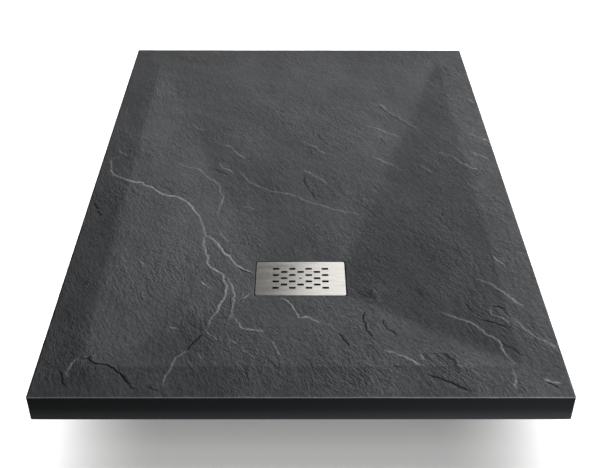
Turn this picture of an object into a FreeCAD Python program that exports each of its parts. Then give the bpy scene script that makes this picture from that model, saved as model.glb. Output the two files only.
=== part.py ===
import FreeCAD
import Part
import Sketcher
import os

# Shower tray on an adjustable leg kit, in millimetres. +Z is up, +X is to the right of somebody who
# stands at the drain end, and +Y runs from the drain end to the far end. The origin is on the floor,
# under the middle of the tray.

SIZES = {
    # the tray
    "tray_width": 800,
    "tray_length": 1200,
    "floor_gap": 125,  # from the floor to the underside of the slab
    "edge_height": 45,
    "corner_radius": 3,
    "edge_bevel": 0.8,
    "coat": 1,  # thickness of the gel coat
    "rim": 65,  # flat border between the outer edge and the falls
    "fall": 16,  # from the rim down to the grate
    "drain_from_front": 300.6,
    # the recess and the hole for the waste
    "recess_length": 157,
    "recess_width": 97,
    "recess_depth": 12,
    "recess_corner": 4,
    "recess_border": 2,  # flat strip between the recess and the falls
    "waste_hole": 62,
    # the grate
    "grate_length": 153.5,
    "grate_width": 93,
    "grate_thickness": 2.5,
    "grate_corner": 3,
    "slot_length": 10.6,
    "slot_width": 4.7,
    "slot_corner": 1,
    "slot_pitch_across": 14.2,
    "slot_pitch_along": 8.8,
    "pad_diameter": 11,
    "pad_inset": 9,
    "screw_head": 10,
    "screw_shank": 5,
    "screw_countersink": 2.5,
    "screw_length": 18,
    "screw_socket": 4,
    "screw_socket_depth": 2,
    "screw_play": 0.05,
    # the waste flange and its seals
    "flange_diameter": 90,
    "flange_thickness": 3,
    "flange_seat": 61,
    "flange_seat_depth": 1.5,
    "seal_thickness": 2,
    "lower_seal_thickness": 3,
    "sleeve_outside": 58,
    "sleeve_inside": 52,
    "sleeve_length": 50,
    # the trap
    "trap_outside": 100,
    "trap_wall": 3,
    "trap_bottom": 24,  # above the floor
    "cup_lip": 46,
    "cup_outside": 108,
    "cup_seal_level": 34,
    "neck_outside": 66,
    "neck_bottom": 99,
    "neck_flange": 84,
    "neck_flange_thickness": 5,
    "thread_play": 0.1,
    "shoulder_level": 108,
    "outlet_level": 81,
    "branch_outside": 66,
    "branch_bore": 44,
    "branch_end": 79,
    # the siphon insert
    "dip_outside": 44,
    "dip_inside": 40,
    "dip_bottom": 35,
    "plug_outside": 51.2,
    "plug_bottom": 118,
    "collar_outside": 60,
    "collar_thickness": 2,
    "ring_level": 128,
    "ring_thickness": 3.4,
    "ring_outside": 51.9,
    "handle_width": 8,
    "handle_depth": 9,
    "boss_diameter": 14,
    "insert_nut_outside": 8,
    # the swivelling outlet
    "ball_centre": 75,
    "ball_diameter": 58,
    "ball_back": 18,
    "ball_play": 0.3,
    "ball_seal_play": 0.08,
    "ball_seal_length": 4,
    "spigot_outside": 40,
    "spigot_inside": 35,
    "spigot_end": 150,
    "outlet_nut_outside": 76,
    "outlet_nut_back": 67,
    "outlet_nut_front": 89,
    "outlet_nut_mouth": 50,
    "nut_rib_width": 6,
    "nut_rib_height": 2,
    "nut_ribs": 10,
    # the legs
    "leg_from_side": 90,
    "front_leg_from_end": 170,
    "back_leg_from_end": 100,
    "centre_leg_forward": 60,
    "adhesive": 1,
    "adhesive_diameter": 80,
    "head_diameter": 90,
    "head_thickness": 6,
    "tube_outside": 44,
    "tube_end": 72,
    "tube_roof": 4,
    "gusset_width": 3,
    "gusset_reach": 18,
    "gusset_drop": 26,
    "gussets": 6,
    "spindle_diameter": 32,
    "spindle_inside": 24,
    "spindle_top": 95,
    "spindle_play": 0.05,
    "lock_ring_diameter": 56,
    "lock_ring_bottom": 58,
    "lock_ring_gap": 0.3,
    "ring_notch": 9,
    "ring_notches": 8,
    "foot_diameter": 80,
    "foot_thickness": 8,
    "foot_cone_height": 7,
    "foot_cone_diameter": 50,
    "sole_diameter": 76,
    "sole_thickness": 2,
}

doc = FreeCAD.newDocument("shower_tray")
dim = doc.addObject("Spreadsheet::Sheet", "Dim")
for row, (alias, size) in enumerate(SIZES.items(), start=1):
    dim.set(f"A{row}", alias)
    dim.set(f"B{row}", str(size))
    dim.setAlias(f"B{row}", alias)
doc.recompute()

# Levels and places that several pieces share, as expressions on the sheet.
UNDERSIDE = "Dim.floor_gap"
RIM_TOP = "(Dim.floor_gap + Dim.edge_height)"
DECK_LOW = f"({RIM_TOP} - Dim.fall)"
RECESS_FLOOR = f"({DECK_LOW} - Dim.recess_depth)"
DRAIN_Y = "(Dim.drain_from_front - Dim.tray_length / 2)"
GRATE_UNDERSIDE = f"({DECK_LOW} - Dim.grate_thickness)"
FLANGE_BOTTOM = f"({RECESS_FLOOR} + Dim.seal_thickness)"
FLANGE_TOP = f"({FLANGE_BOTTOM} + Dim.flange_thickness)"
SEAT = f"({FLANGE_TOP} - Dim.flange_seat_depth)"
COLLAR_TOP = f"({SEAT} + Dim.collar_thickness)"
NECK_TOP = f"({UNDERSIDE} - Dim.lower_seal_thickness)"
CUP_SEAL_TOP = "(Dim.cup_seal_level + Dim.seal_thickness)"
HEAD_TOP = f"({UNDERSIDE} - Dim.adhesive)"
HEAD_BOTTOM = f"({HEAD_TOP} - Dim.head_thickness)"
FOOT_TOP = "(Dim.sole_thickness + Dim.foot_thickness)"

# The outlet's pieces are modelled along +Z and laid along +X.
LAID = FreeCAD.Rotation(FreeCAD.Vector(0, 1, 0), 90)

parts = []


def number(expression):
    """The value of an expression on the sheet."""
    return float(dim.evalExpression(expression))


def bind(thing, **bindings):
    """Bind properties of an object to expressions; a double underscore stands for a dot."""
    for prop, expression in bindings.items():
        thing.setExpression(prop.replace("__", "."), expression)


def keep(thing, label):
    """Name a finished sub-part, which also names its file."""
    thing.Label = label
    parts.append(thing)
    return thing


def put(thing, across="0", along="0", up="0"):
    """Place an object at three expressions."""
    bind(thing, Placement__Base__x=across, Placement__Base__y=along, Placement__Base__z=up)
    return thing


# --- sketches and features ----------------------------------------------------------------------


def sketch_on(body, role, name, rise=None, lift=None):
    """A sketch on one of the body's own origin planes, raised off it or shifted up along it."""
    sketch = body.newObject("Sketcher::SketchObject", name)
    plane = next(feature for feature in body.Origin.OriginFeatures if feature.Role == role)
    sketch.AttachmentSupport = [(plane, "")]
    sketch.MapMode = "FlatFace"
    if rise:
        bind(sketch, AttachmentOffset__Base__z=rise)
    if lift:
        bind(sketch, AttachmentOffset__Base__y=lift)
    return sketch


def pin_point(sketch, edge, end, corner):
    """Hold the end of a sketched edge at a pair of expressions."""
    for kind, axis, expression in zip(("DistanceX", "DistanceY"), (-2, -1), corner):
        size = number(expression)
        if abs(size) < 1e-9:
            sketch.addConstraint(Sketcher.Constraint("PointOnObject", edge, end, axis))
            continue
        index = sketch.addConstraint(Sketcher.Constraint(kind, -1, 1, edge, end, size))
        sketch.setExpression(f"Constraints[{index}]", expression)


def outline(sketch, corners):
    """A closed outline through corners that are pairs of expressions."""
    points = [FreeCAD.Vector(number(u), number(v), 0) for u, v in corners]
    count = len(points)
    first = sketch.GeometryCount
    for n in range(count):
        sketch.addGeometry(Part.LineSegment(points[n], points[(n + 1) % count]), False)
    for n in range(count):
        following = first + (n + 1) % count
        sketch.addConstraint(Sketcher.Constraint("Coincident", first + n, 2, following, 1))
    for n, corner in enumerate(corners):
        pin_point(sketch, first + n, 1, corner)


def circle(sketch, diameter, across="0", along="0"):
    """A circle of a given diameter about a point."""
    middle = FreeCAD.Vector(number(across), number(along), 0)
    edge = sketch.addGeometry(Part.Circle(middle, FreeCAD.Vector(0, 0, 1), number(diameter) / 2), False)
    pin_point(sketch, edge, 3, (across, along))
    index = sketch.addConstraint(Sketcher.Constraint("Diameter", edge, number(diameter)))
    sketch.setExpression(f"Constraints[{index}]", diameter)


def rectangle(sketch, length, width, across="0", along="0"):
    """A rectangle of a given size about a point."""
    left, right = f"({across}) - ({length}) / 2", f"({across}) + ({length}) / 2"
    near, far = f"({along}) - ({width}) / 2", f"({along}) + ({width}) / 2"
    outline(sketch, [(left, near), (right, near), (right, far), (left, far)])


def pad(body, sketch, height, name="Pad"):
    """Material from the sketch upwards."""
    feature = body.newObject("PartDesign::Pad", name)
    feature.Profile = sketch
    bind(feature, Length=height)
    doc.recompute()
    return feature


def pocket(body, sketch, depth, name="Pocket"):
    """A cut from the sketch downwards, which has to take something away."""
    before = body.Shape.Volume
    feature = body.newObject("PartDesign::Pocket", name)
    feature.Profile = sketch
    bind(feature, Length=depth)
    doc.recompute()
    if feature.Shape.Volume > before - 1e-3:
        raise RuntimeError(f"{body.Name}: {name} cuts nothing")
    return feature


def round_upright_edges(body, radius, near=None):
    """Fillet the vertical edges of the body, or those inside a half width and half length."""
    chosen = []
    for n, edge in enumerate(body.Shape.Edges, start=1):
        start, end = edge.Vertexes[0].Point, edge.Vertexes[-1].Point
        upright = abs(start.x - end.x) < 1e-6 and abs(start.y - end.y) < 1e-6 and start != end
        inside = near is None or (abs(start.x) < near[0] and near[1] < start.y < near[2])
        if upright and inside:
            chosen.append(f"Edge{n}")
    base = body.Tip
    feature = body.newObject("PartDesign::Fillet", "RoundedCorners")
    feature.Base = (base, chosen)
    bind(feature, Radius=radius)
    body.Tip = feature
    doc.recompute()


def turned(label, corners, axis_role="XZ_Plane"):
    """A body turned about its own Z axis from an outline of radius and height."""
    body = doc.addObject("PartDesign::Body", label)
    sketch = sketch_on(body, axis_role, "Section")
    outline(sketch, corners)
    feature = body.newObject("PartDesign::Revolution", "Turned")
    feature.Profile = sketch
    feature.ReferenceAxis = (sketch, ["V_Axis"])
    feature.Angle = 360
    doc.recompute()
    return body


def repeat_round(body, feature, count):
    """Repeat a feature evenly about the body's Z axis."""
    pattern = body.newObject("PartDesign::PolarPattern", "Round")
    pattern.Originals = [feature]
    axis = next(item for item in body.Origin.OriginFeatures if item.Role == "Z_Axis")
    pattern.Axis = (axis, [""])
    pattern.Angle = 360
    bind(pattern, Occurrences=count)
    body.Tip = pattern
    doc.recompute()


def ring_outline(inside, outside, low, high):
    """The section of a plain ring, from its two diameters and two levels."""
    inner, outer = f"({inside}) / 2", f"({outside}) / 2"
    return [(inner, low), (outer, low), (outer, high), (inner, high)]


def cylinder(diameter, low, high):
    """A primitive cylinder between two levels."""
    solid = doc.addObject("Part::Cylinder", "Cylinder")
    bind(solid, Radius=f"({diameter}) / 2", Height=f"({high}) - ({low})", Placement__Base__z=low)
    return solid


def ball(diameter):
    """A primitive sphere about the origin."""
    solid = doc.addObject("Part::Sphere", "Ball")
    bind(solid, Radius=f"({diameter}) / 2")
    return solid


def cut(base, tool, name="Cut"):
    """The base with the tool taken away."""
    result = doc.addObject("Part::Cut", name)
    result.Base = base
    result.Tool = tool
    return result


def gather(solids, name="Group"):
    """Separate solids that make one sub-part."""
    group = doc.addObject("Part::Compound", name)
    group.Links = solids
    return group


# --- the tray -----------------------------------------------------------------------------------


def tray_form(name, inset):
    """The tray's outer form, or the same form with its top, sides and recess set in by the coat."""
    body = doc.addObject("PartDesign::Body", name)
    top = f"({RIM_TOP} - {inset})"
    low = f"({DECK_LOW} - {inset})"
    floor = f"({RECESS_FLOOR} - {inset})"
    length = f"Dim.recess_length + 2 * {inset}"
    width = f"Dim.recess_width + 2 * {inset}"

    plan = sketch_on(body, "XY_Plane", "Plan", rise=UNDERSIDE)
    rectangle(plan, f"Dim.tray_width - 2 * {inset}", f"Dim.tray_length - 2 * {inset}")
    pad(body, plan, f"{top} - {UNDERSIDE}", "Slab")
    round_upright_edges(body, f"Dim.corner_radius - {inset}")

    rim_line = sketch_on(body, "XY_Plane", "RimLine", rise=top)
    rectangle(rim_line, "Dim.tray_width - 2 * Dim.rim", "Dim.tray_length - 2 * Dim.rim")
    drain_line = sketch_on(body, "XY_Plane", "DrainLine", rise=low)
    rectangle(drain_line, "Dim.recess_length + 2 * Dim.recess_border",
              "Dim.recess_width + 2 * Dim.recess_border", along=DRAIN_Y)
    falls = body.newObject("PartDesign::SubtractiveLoft", "Falls")
    falls.Profile = rim_line
    falls.Sections = [drain_line]
    falls.Ruled = True
    body.Tip = falls
    doc.recompute()

    recess = sketch_on(body, "XY_Plane", "Recess", rise=low)
    rectangle(recess, length, width, along=DRAIN_Y)
    pocket(body, recess, f"{low} - {floor}", "GrateRecess")
    drain = number(DRAIN_Y)
    reach = number(length)
    round_upright_edges(body, f"Dim.recess_corner + {inset}", near=(reach, drain - reach, drain + reach))

    hole = sketch_on(body, "XY_Plane", "Hole", rise=floor)
    circle(hole, "Dim.waste_hole", along=DRAIN_Y)
    pocket(body, hole, f"{floor} - {UNDERSIDE}", "WasteHole")
    return body


def bevel_top_edge(body):
    """Break the outer edge of the rim."""
    top, half_width = number(RIM_TOP), number("Dim.tray_width / 2 - Dim.rim / 2")
    half_length = number("Dim.tray_length / 2 - Dim.rim / 2")
    chosen = []
    for n, edge in enumerate(body.Shape.Edges, start=1):
        box = edge.BoundBox
        level = abs(box.ZMin - top) < 1e-6 and abs(box.ZMax - top) < 1e-6
        beside = max(abs(box.XMin), abs(box.XMax)) > half_width
        beyond = max(abs(box.YMin), abs(box.YMax)) > half_length
        if level and (beside or beyond):
            chosen.append(f"Edge{n}")
    base = body.Tip
    feature = body.newObject("PartDesign::Chamfer", "BrokenEdge")
    feature.Base = (base, chosen)
    bind(feature, Size="Dim.edge_bevel")
    body.Tip = feature
    doc.recompute()


resin_slab = keep(tray_form("SlabForm", "Dim.coat"), "resin_slab")
tray_outside = tray_form("TrayOutside", "0")
bevel_top_edge(tray_outside)
gel_coat = keep(cut(tray_outside, resin_slab, "GelCoat"), "gel_coat")


# --- the grate ----------------------------------------------------------------------------------


def slots(body, name, column, row, columns, rows, column_step, row_step):
    """One slot and its repeats; columns and rows are counted from the middle of the grate."""
    sketch = sketch_on(body, "XY_Plane", name, rise=DECK_LOW)
    across = f"{column} * Dim.slot_pitch_across"
    along = f"{row} * Dim.slot_pitch_along"
    rectangle(sketch, "Dim.slot_length", "Dim.slot_width", across, along)
    feature = pocket(body, sketch, "Dim.grate_thickness", name + "Slot")
    pattern = body.newObject("PartDesign::LinearPattern", name + "Slots")
    pattern.Originals = [feature]
    roles = {item.Role: item for item in body.Origin.OriginFeatures}
    pattern.Direction = (roles["X_Axis"], [""])
    pattern.Mode = "Spacing"
    pattern.Occurrences = columns
    bind(pattern, Offset=f"{column_step} * Dim.slot_pitch_across")
    if rows > 1:
        pattern.Direction2 = (roles["Y_Axis"], [""])
        pattern.Mode2 = "Spacing"
        pattern.Occurrences2 = rows
        bind(pattern, Offset2=f"{row_step} * Dim.slot_pitch_along")
    body.Tip = pattern
    doc.recompute()


grate_plate = doc.addObject("PartDesign::Body", "GratePlate")
plate_plan = sketch_on(grate_plate, "XY_Plane", "Plan", rise=GRATE_UNDERSIDE)
rectangle(plate_plan, "Dim.grate_length", "Dim.grate_width")
pad(grate_plate, plate_plan, "Dim.grate_thickness", "Plate")
round_upright_edges(grate_plate, "Dim.grate_corner")
slots(grate_plate, "Outer", -3, -3, 4, 4, 2, 2)
slots(grate_plate, "Inner", -2, -2, 3, 2, 2, 4)
slots(grate_plate, "Middle", -2, 0, 2, 1, 4, 1)
slot_reach = (number("3.5 * Dim.slot_pitch_across"), -number("4 * Dim.slot_pitch_along"))
round_upright_edges(grate_plate, "Dim.slot_corner", near=(slot_reach[0], slot_reach[1], -slot_reach[1]))
HEAD_RADIUS = "Dim.screw_head / 2 + Dim.screw_play"
SHANK_RADIUS = "Dim.screw_shank / 2 + 2 * Dim.screw_play"
sink = sketch_on(grate_plate, "XZ_Plane", "Sink")
outline(sink, [
    ("0", GRATE_UNDERSIDE), (SHANK_RADIUS, GRATE_UNDERSIDE), (HEAD_RADIUS, DECK_LOW), ("0", DECK_LOW)])
countersink = grate_plate.newObject("PartDesign::Groove", "Countersink")
countersink.Profile = sink
countersink.ReferenceAxis = (sink, ["V_Axis"])
countersink.Angle = 360
grate_plate.Tip = countersink
keep(put(grate_plate, along=DRAIN_Y), "grate_plate")

pads = []
for side in (-1, 1):
    for end in (-1, 1):
        rubber = cylinder("Dim.pad_diameter", RECESS_FLOOR, GRATE_UNDERSIDE)
        bind(rubber, Placement__Base__x=f"{side} * (Dim.grate_length / 2 - Dim.pad_inset)",
             Placement__Base__y=f"{DRAIN_Y} + {end} * (Dim.grate_width / 2 - Dim.pad_inset)")
        pads.append(rubber)
keep(gather(pads), "grate_pads")

SCREW_END = f"{DECK_LOW} - Dim.screw_length"
UNDER_HEAD = f"{DECK_LOW} - Dim.screw_countersink"
grate_screw = turned("GrateScrew", [
    ("0", SCREW_END), ("Dim.screw_shank / 2", SCREW_END), ("Dim.screw_shank / 2", UNDER_HEAD),
    ("Dim.screw_head / 2", DECK_LOW), ("0", DECK_LOW)])
socket = sketch_on(grate_screw, "XY_Plane", "Socket", rise=DECK_LOW)
SOCKET_CORNER = "Dim.screw_socket / sqrt(3)"
HALF_SOCKET = "Dim.screw_socket / 2"
outline(socket, [
    (SOCKET_CORNER, "0"), (f"{SOCKET_CORNER} / 2", HALF_SOCKET), (f"-{SOCKET_CORNER} / 2", HALF_SOCKET),
    (f"-{SOCKET_CORNER}", "0"), (f"-{SOCKET_CORNER} / 2", f"-{HALF_SOCKET}"),
    (f"{SOCKET_CORNER} / 2", f"-{HALF_SOCKET}")])
pocket(grate_screw, socket, "Dim.screw_socket_depth", "HexSocket")
keep(put(grate_screw, along=DRAIN_Y), "grate_screw")

# --- the waste flange and its seals -------------------------------------------------------------

SLEEVE_END = f"{FLANGE_BOTTOM} - Dim.sleeve_length"
waste_flange = turned("WasteFlange", [
    ("Dim.sleeve_inside / 2", SLEEVE_END), ("Dim.sleeve_outside / 2", SLEEVE_END),
    ("Dim.sleeve_outside / 2", FLANGE_BOTTOM), ("Dim.flange_diameter / 2", FLANGE_BOTTOM),
    ("Dim.flange_diameter / 2", f"{FLANGE_TOP} - Dim.flange_thickness / 3"),
    ("Dim.flange_diameter / 2 - Dim.flange_thickness", FLANGE_TOP), ("Dim.flange_seat / 2", FLANGE_TOP),
    ("Dim.flange_seat / 2", SEAT), ("Dim.sleeve_inside / 2", SEAT)])
keep(put(waste_flange, along=DRAIN_Y), "waste_flange")

SEAL_INSIDE = "Dim.waste_hole + 2"
upper_seal = turned("UpperSeal", ring_outline(
    SEAL_INSIDE, "Dim.flange_diameter - 3", RECESS_FLOOR, FLANGE_BOTTOM))
keep(put(upper_seal, along=DRAIN_Y), "flange_seal")
lower_seal = turned("LowerSeal", ring_outline(SEAL_INSIDE, "Dim.neck_flange", NECK_TOP, UNDERSIDE))
keep(put(lower_seal, along=DRAIN_Y), "lower_seal")

# --- the trap -----------------------------------------------------------------------------------

NECK_RADIUS = "(Dim.sleeve_outside / 2 + Dim.thread_play)"
TRAP_RADIUS = "Dim.trap_outside / 2"
TRAP_INSIDE = f"({TRAP_RADIUS} - Dim.trap_wall)"
trap_shell = turned("TrapHead", [
    (TRAP_INSIDE, CUP_SEAL_TOP), (TRAP_RADIUS, CUP_SEAL_TOP), (TRAP_RADIUS, "Dim.shoulder_level"),
    ("Dim.neck_outside / 2 + Dim.trap_wall", f"{NECK_TOP} - Dim.neck_flange_thickness"),
    ("Dim.neck_flange / 2", f"{NECK_TOP} - Dim.neck_flange_thickness"), ("Dim.neck_flange / 2", NECK_TOP),
    (NECK_RADIUS, NECK_TOP), (NECK_RADIUS, "Dim.neck_bottom"), ("Dim.neck_outside / 2", "Dim.neck_bottom"),
    ("Dim.neck_outside / 2", "Dim.shoulder_level + Dim.trap_wall"),
    (TRAP_INSIDE, "Dim.shoulder_level - Dim.trap_wall / 2")])
branch = sketch_on(trap_shell, "XZ_Plane", "Branch", lift="Dim.outlet_level")
BRANCH_START = "Dim.neck_outside / 2 - Dim.trap_wall"
BRANCH_RADIUS = "Dim.branch_outside / 2"
outline(branch, [(BRANCH_START, "0"), ("Dim.branch_end", "0"), ("Dim.branch_end", BRANCH_RADIUS),
                 (BRANCH_START, BRANCH_RADIUS)])
branch_tube = trap_shell.newObject("PartDesign::Revolution", "BranchTube")
branch_tube.Profile = branch
branch_tube.ReferenceAxis = (branch, ["H_Axis"])
branch_tube.Angle = 360
doc.recompute()
inner = sketch_on(trap_shell, "XZ_Plane", "Inner")
outline(inner, [("0", CUP_SEAL_TOP), (TRAP_INSIDE, CUP_SEAL_TOP),
                (TRAP_INSIDE, "Dim.shoulder_level - Dim.trap_wall / 2"),
                ("Dim.neck_outside / 2", "Dim.shoulder_level + Dim.trap_wall"),
                ("Dim.neck_outside / 2", "Dim.neck_bottom"), ("0", "Dim.neck_bottom")])
hollow = trap_shell.newObject("PartDesign::Groove", "Hollow")
hollow.Profile = inner
hollow.ReferenceAxis = (inner, ["V_Axis"])
hollow.Angle = 360
doc.recompute()
way_out = sketch_on(trap_shell, "YZ_Plane", "WayOut", rise="Dim.ball_centre")
circle(way_out, "Dim.branch_bore", along="Dim.outlet_level")
pocket(trap_shell, way_out, f"Dim.ball_centre - {BRANCH_START}", "BranchBore")
ball_seat = ball("Dim.ball_diameter + 2 * Dim.ball_play")
ball_seat.Placement = FreeCAD.Placement(FreeCAD.Vector(0, 0, 0), LAID)
put(ball_seat, "Dim.ball_centre", "0", "Dim.outlet_level")
trap_head = cut(trap_shell, ball_seat, "TrapHeadSeated")
keep(put(trap_head, along=DRAIN_Y), "trap_head")

CUP_RADIUS = "Dim.cup_outside / 2"
CUP_FLOOR = "Dim.trap_bottom + Dim.trap_wall"
THREAD_RADIUS = f"{TRAP_RADIUS} + Dim.thread_play"
trap_cup = turned("TrapCup", [
    ("0", "Dim.trap_bottom"), (f"{CUP_RADIUS} - 2 * Dim.trap_wall", "Dim.trap_bottom"),
    (CUP_RADIUS, "Dim.trap_bottom + 2 * Dim.trap_wall"), (CUP_RADIUS, "Dim.cup_lip"),
    (THREAD_RADIUS, "Dim.cup_lip"), (THREAD_RADIUS, "Dim.cup_seal_level"),
    (TRAP_INSIDE, "Dim.cup_seal_level"), (TRAP_INSIDE, f"{CUP_FLOOR} + Dim.trap_wall"),
    (f"{TRAP_INSIDE} - Dim.trap_wall", CUP_FLOOR), ("0", CUP_FLOOR)])
keep(put(trap_cup, along=DRAIN_Y), "trap_cup")
cup_seal = turned("CupSeal", ring_outline(
    f"2 * {TRAP_INSIDE}", "Dim.trap_outside", "Dim.cup_seal_level", CUP_SEAL_TOP))
keep(put(cup_seal, along=DRAIN_Y), "cup_seal")

# --- the siphon insert, which lifts out through the flange --------------------------------------

DIP_IN, DIP_OUT = "Dim.dip_inside / 2", "Dim.dip_outside / 2"
PLUG_OUT = "Dim.plug_outside / 2"
GROOVE = "(Dim.ring_outside / 2 - Dim.ring_thickness - Dim.screw_play)"
GROOVE_LOW = "(Dim.ring_level - Dim.ring_thickness / 2 - Dim.screw_play)"
GROOVE_HIGH = "(Dim.ring_level + Dim.ring_thickness / 2 + Dim.screw_play)"
siphon = turned("SiphonInsert", [
    (DIP_IN, "Dim.dip_bottom"), (DIP_OUT, "Dim.dip_bottom"),
    (DIP_OUT, f"Dim.plug_bottom - ({PLUG_OUT} - {DIP_OUT})"), (PLUG_OUT, "Dim.plug_bottom"),
    (PLUG_OUT, GROOVE_LOW), (GROOVE, GROOVE_LOW), (GROOVE, GROOVE_HIGH), (PLUG_OUT, GROOVE_HIGH),
    (PLUG_OUT, SEAT), ("Dim.collar_outside / 2", SEAT), ("Dim.collar_outside / 2", COLLAR_TOP),
    (DIP_IN, COLLAR_TOP)])
HANDLE_BOTTOM = f"({COLLAR_TOP} - Dim.handle_depth)"
crossbar = sketch_on(siphon, "XY_Plane", "Crossbar", rise=HANDLE_BOTTOM)
rectangle(crossbar, "Dim.dip_inside + 2", "Dim.handle_width")
pad(siphon, crossbar, "Dim.handle_depth", "Handle")
boss = sketch_on(siphon, "XY_Plane", "Boss", rise=HANDLE_BOTTOM)
circle(boss, "Dim.boss_diameter")
pad(siphon, boss, "Dim.handle_depth", "NutBoss")
nut_hole = sketch_on(siphon, "XY_Plane", "NutHole", rise=COLLAR_TOP)
circle(nut_hole, "Dim.insert_nut_outside")
pocket(siphon, nut_hole, "Dim.handle_depth", "NutSeat")
keep(put(siphon, along=DRAIN_Y), "siphon_insert")

insert_nut = turned("InsertNut", ring_outline(
    "Dim.screw_shank + 2 * Dim.screw_play", "Dim.insert_nut_outside", HANDLE_BOTTOM, COLLAR_TOP))
keep(put(insert_nut, along=DRAIN_Y), "insert_nut")

insert_ring = doc.addObject("Part::Torus", "InsertRing")
bind(insert_ring, Radius1="(Dim.ring_outside - Dim.ring_thickness) / 2", Radius2="Dim.ring_thickness / 2")
keep(put(insert_ring, along=DRAIN_Y, up="Dim.ring_level"), "insert_ring")

# --- the swivelling outlet ----------------------------------------------------------------------

def lay(thing, label):
    """Lay a piece of the outlet along +X with its origin at the centre of the ball."""
    thing.Placement = FreeCAD.Placement(FreeCAD.Vector(0, 0, 0), LAID)
    put(thing, "Dim.ball_centre", DRAIN_Y, "Dim.outlet_level")
    return keep(thing, label)


SPIGOT_TIP = "(Dim.spigot_end - Dim.ball_centre)"
spigot_ball = ball("Dim.ball_diameter")
bind(spigot_ball, Angle1="-asin(2 * Dim.ball_back / Dim.ball_diameter)")
spigot_tube = turned("SpigotTube", [
    ("Dim.spigot_inside / 4", "0"), ("Dim.spigot_outside / 2", "0"),
    ("Dim.spigot_outside / 2", f"{SPIGOT_TIP} - 2"), ("Dim.spigot_outside / 2 - 1", SPIGOT_TIP),
    ("Dim.spigot_inside / 4", SPIGOT_TIP)])
spigot_solid = doc.addObject("Part::Fuse", "SpigotSolid")
spigot_solid.Base = spigot_ball
spigot_solid.Tool = spigot_tube
spigot_bore = cylinder("Dim.spigot_inside", "-Dim.ball_diameter / 2", f"{SPIGOT_TIP} + 1")
lay(cut(spigot_solid, spigot_bore, "Spigot"), "outlet_spigot")

SEAL_START = "(Dim.branch_end - Dim.ball_centre)"
seal_ring = turned("SealRing", ring_outline(
    "Dim.ball_diameter * 0.8", "Dim.branch_outside", SEAL_START, f"{SEAL_START} + Dim.ball_seal_length"))
lay(cut(seal_ring, ball("Dim.ball_diameter + 2 * Dim.ball_seal_play"), "BallSeal"), "ball_seal")

NUT_BACK = "(Dim.outlet_nut_back - Dim.ball_centre)"
NUT_FRONT = "(Dim.outlet_nut_front - Dim.ball_centre)"
NUT_STEP = f"({SEAL_START} + Dim.ball_seal_length + Dim.ball_play)"
NUT_INSIDE = "(Dim.branch_outside / 2 + Dim.thread_play)"
NUT_OUTSIDE = "(Dim.outlet_nut_outside / 2)"
nut_body = turned("OutletNut", [
    (NUT_INSIDE, NUT_BACK), (f"{NUT_OUTSIDE} - Dim.nut_rib_height", NUT_BACK),
    (f"{NUT_OUTSIDE} - Dim.nut_rib_height", f"{NUT_FRONT} - Dim.trap_wall"),
    (f"{NUT_OUTSIDE} - Dim.nut_rib_height - Dim.trap_wall", NUT_FRONT),
    ("Dim.outlet_nut_mouth / 2", NUT_FRONT), ("Dim.outlet_nut_mouth / 2", NUT_STEP), (NUT_INSIDE, NUT_STEP)])
RIB_CENTRE = f"{NUT_OUTSIDE} - Dim.nut_rib_height"
nut_rib = sketch_on(nut_body, "XY_Plane", "Rib", rise=NUT_BACK)
rectangle(nut_rib, "2 * Dim.nut_rib_height", "Dim.nut_rib_width", across=RIB_CENTRE)
rib = pad(nut_body, nut_rib, "Dim.outlet_nut_front - Dim.outlet_nut_back - 2 * Dim.trap_wall", "GripRib")
repeat_round(nut_body, rib, "Dim.nut_ribs")
lay(cut(nut_body, ball("Dim.ball_diameter + 2 * Dim.ball_play"), "OutletNutSeated"), "outlet_nut")

# --- the legs -----------------------------------------------------------------------------------

SIDE = "(Dim.tray_width / 2 - Dim.leg_from_side)"
FRONT = "(Dim.front_leg_from_end - Dim.tray_length / 2)"
BACK = "(Dim.tray_length / 2 - Dim.back_leg_from_end)"
MIDDLE = f"(({FRONT} + {BACK}) / 2)"
LEGS = {
    "front_left": (f"-{SIDE}", FRONT),
    "front_right": (SIDE, FRONT),
    "middle_left": (f"-{SIDE}", MIDDLE),
    "middle_right": (SIDE, MIDDLE),
    "back_left": (f"-{SIDE}", BACK),
    "back_right": (SIDE, BACK),
    "centre": ("0", f"{MIDDLE} + Dim.centre_leg_forward"),
}
SPINDLE_BORE = "(Dim.spindle_diameter / 2 + Dim.spindle_play)"


def leg_head():
    """A plate with a tube below it, threaded for the spindle, and gussets between the two."""
    tube = "Dim.tube_outside / 2"
    roof = f"{HEAD_BOTTOM} - Dim.tube_roof"
    body = turned("LegHead", [
        ("0", HEAD_TOP), ("0", roof), (SPINDLE_BORE, roof),
        (SPINDLE_BORE, "Dim.tube_end"), (tube, "Dim.tube_end"), (tube, HEAD_BOTTOM),
        ("Dim.head_diameter / 2", HEAD_BOTTOM), ("Dim.head_diameter / 2", HEAD_TOP)])
    sketch = sketch_on(body, "XZ_Plane", "Gusset")
    root = f"{tube} - 1"
    outline(sketch, [(root, f"{HEAD_BOTTOM} + 1"), (root, f"{HEAD_BOTTOM} - Dim.gusset_drop"),
                     (tube, f"{HEAD_BOTTOM} - Dim.gusset_drop"),
                     (f"{tube} + Dim.gusset_reach", HEAD_BOTTOM),
                     (f"{tube} + Dim.gusset_reach", f"{HEAD_BOTTOM} + 1")])
    gusset = pad(body, sketch, "Dim.gusset_width", "GussetPad")
    gusset.Midplane = True
    repeat_round(body, gusset, "Dim.gussets")
    return body


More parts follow.
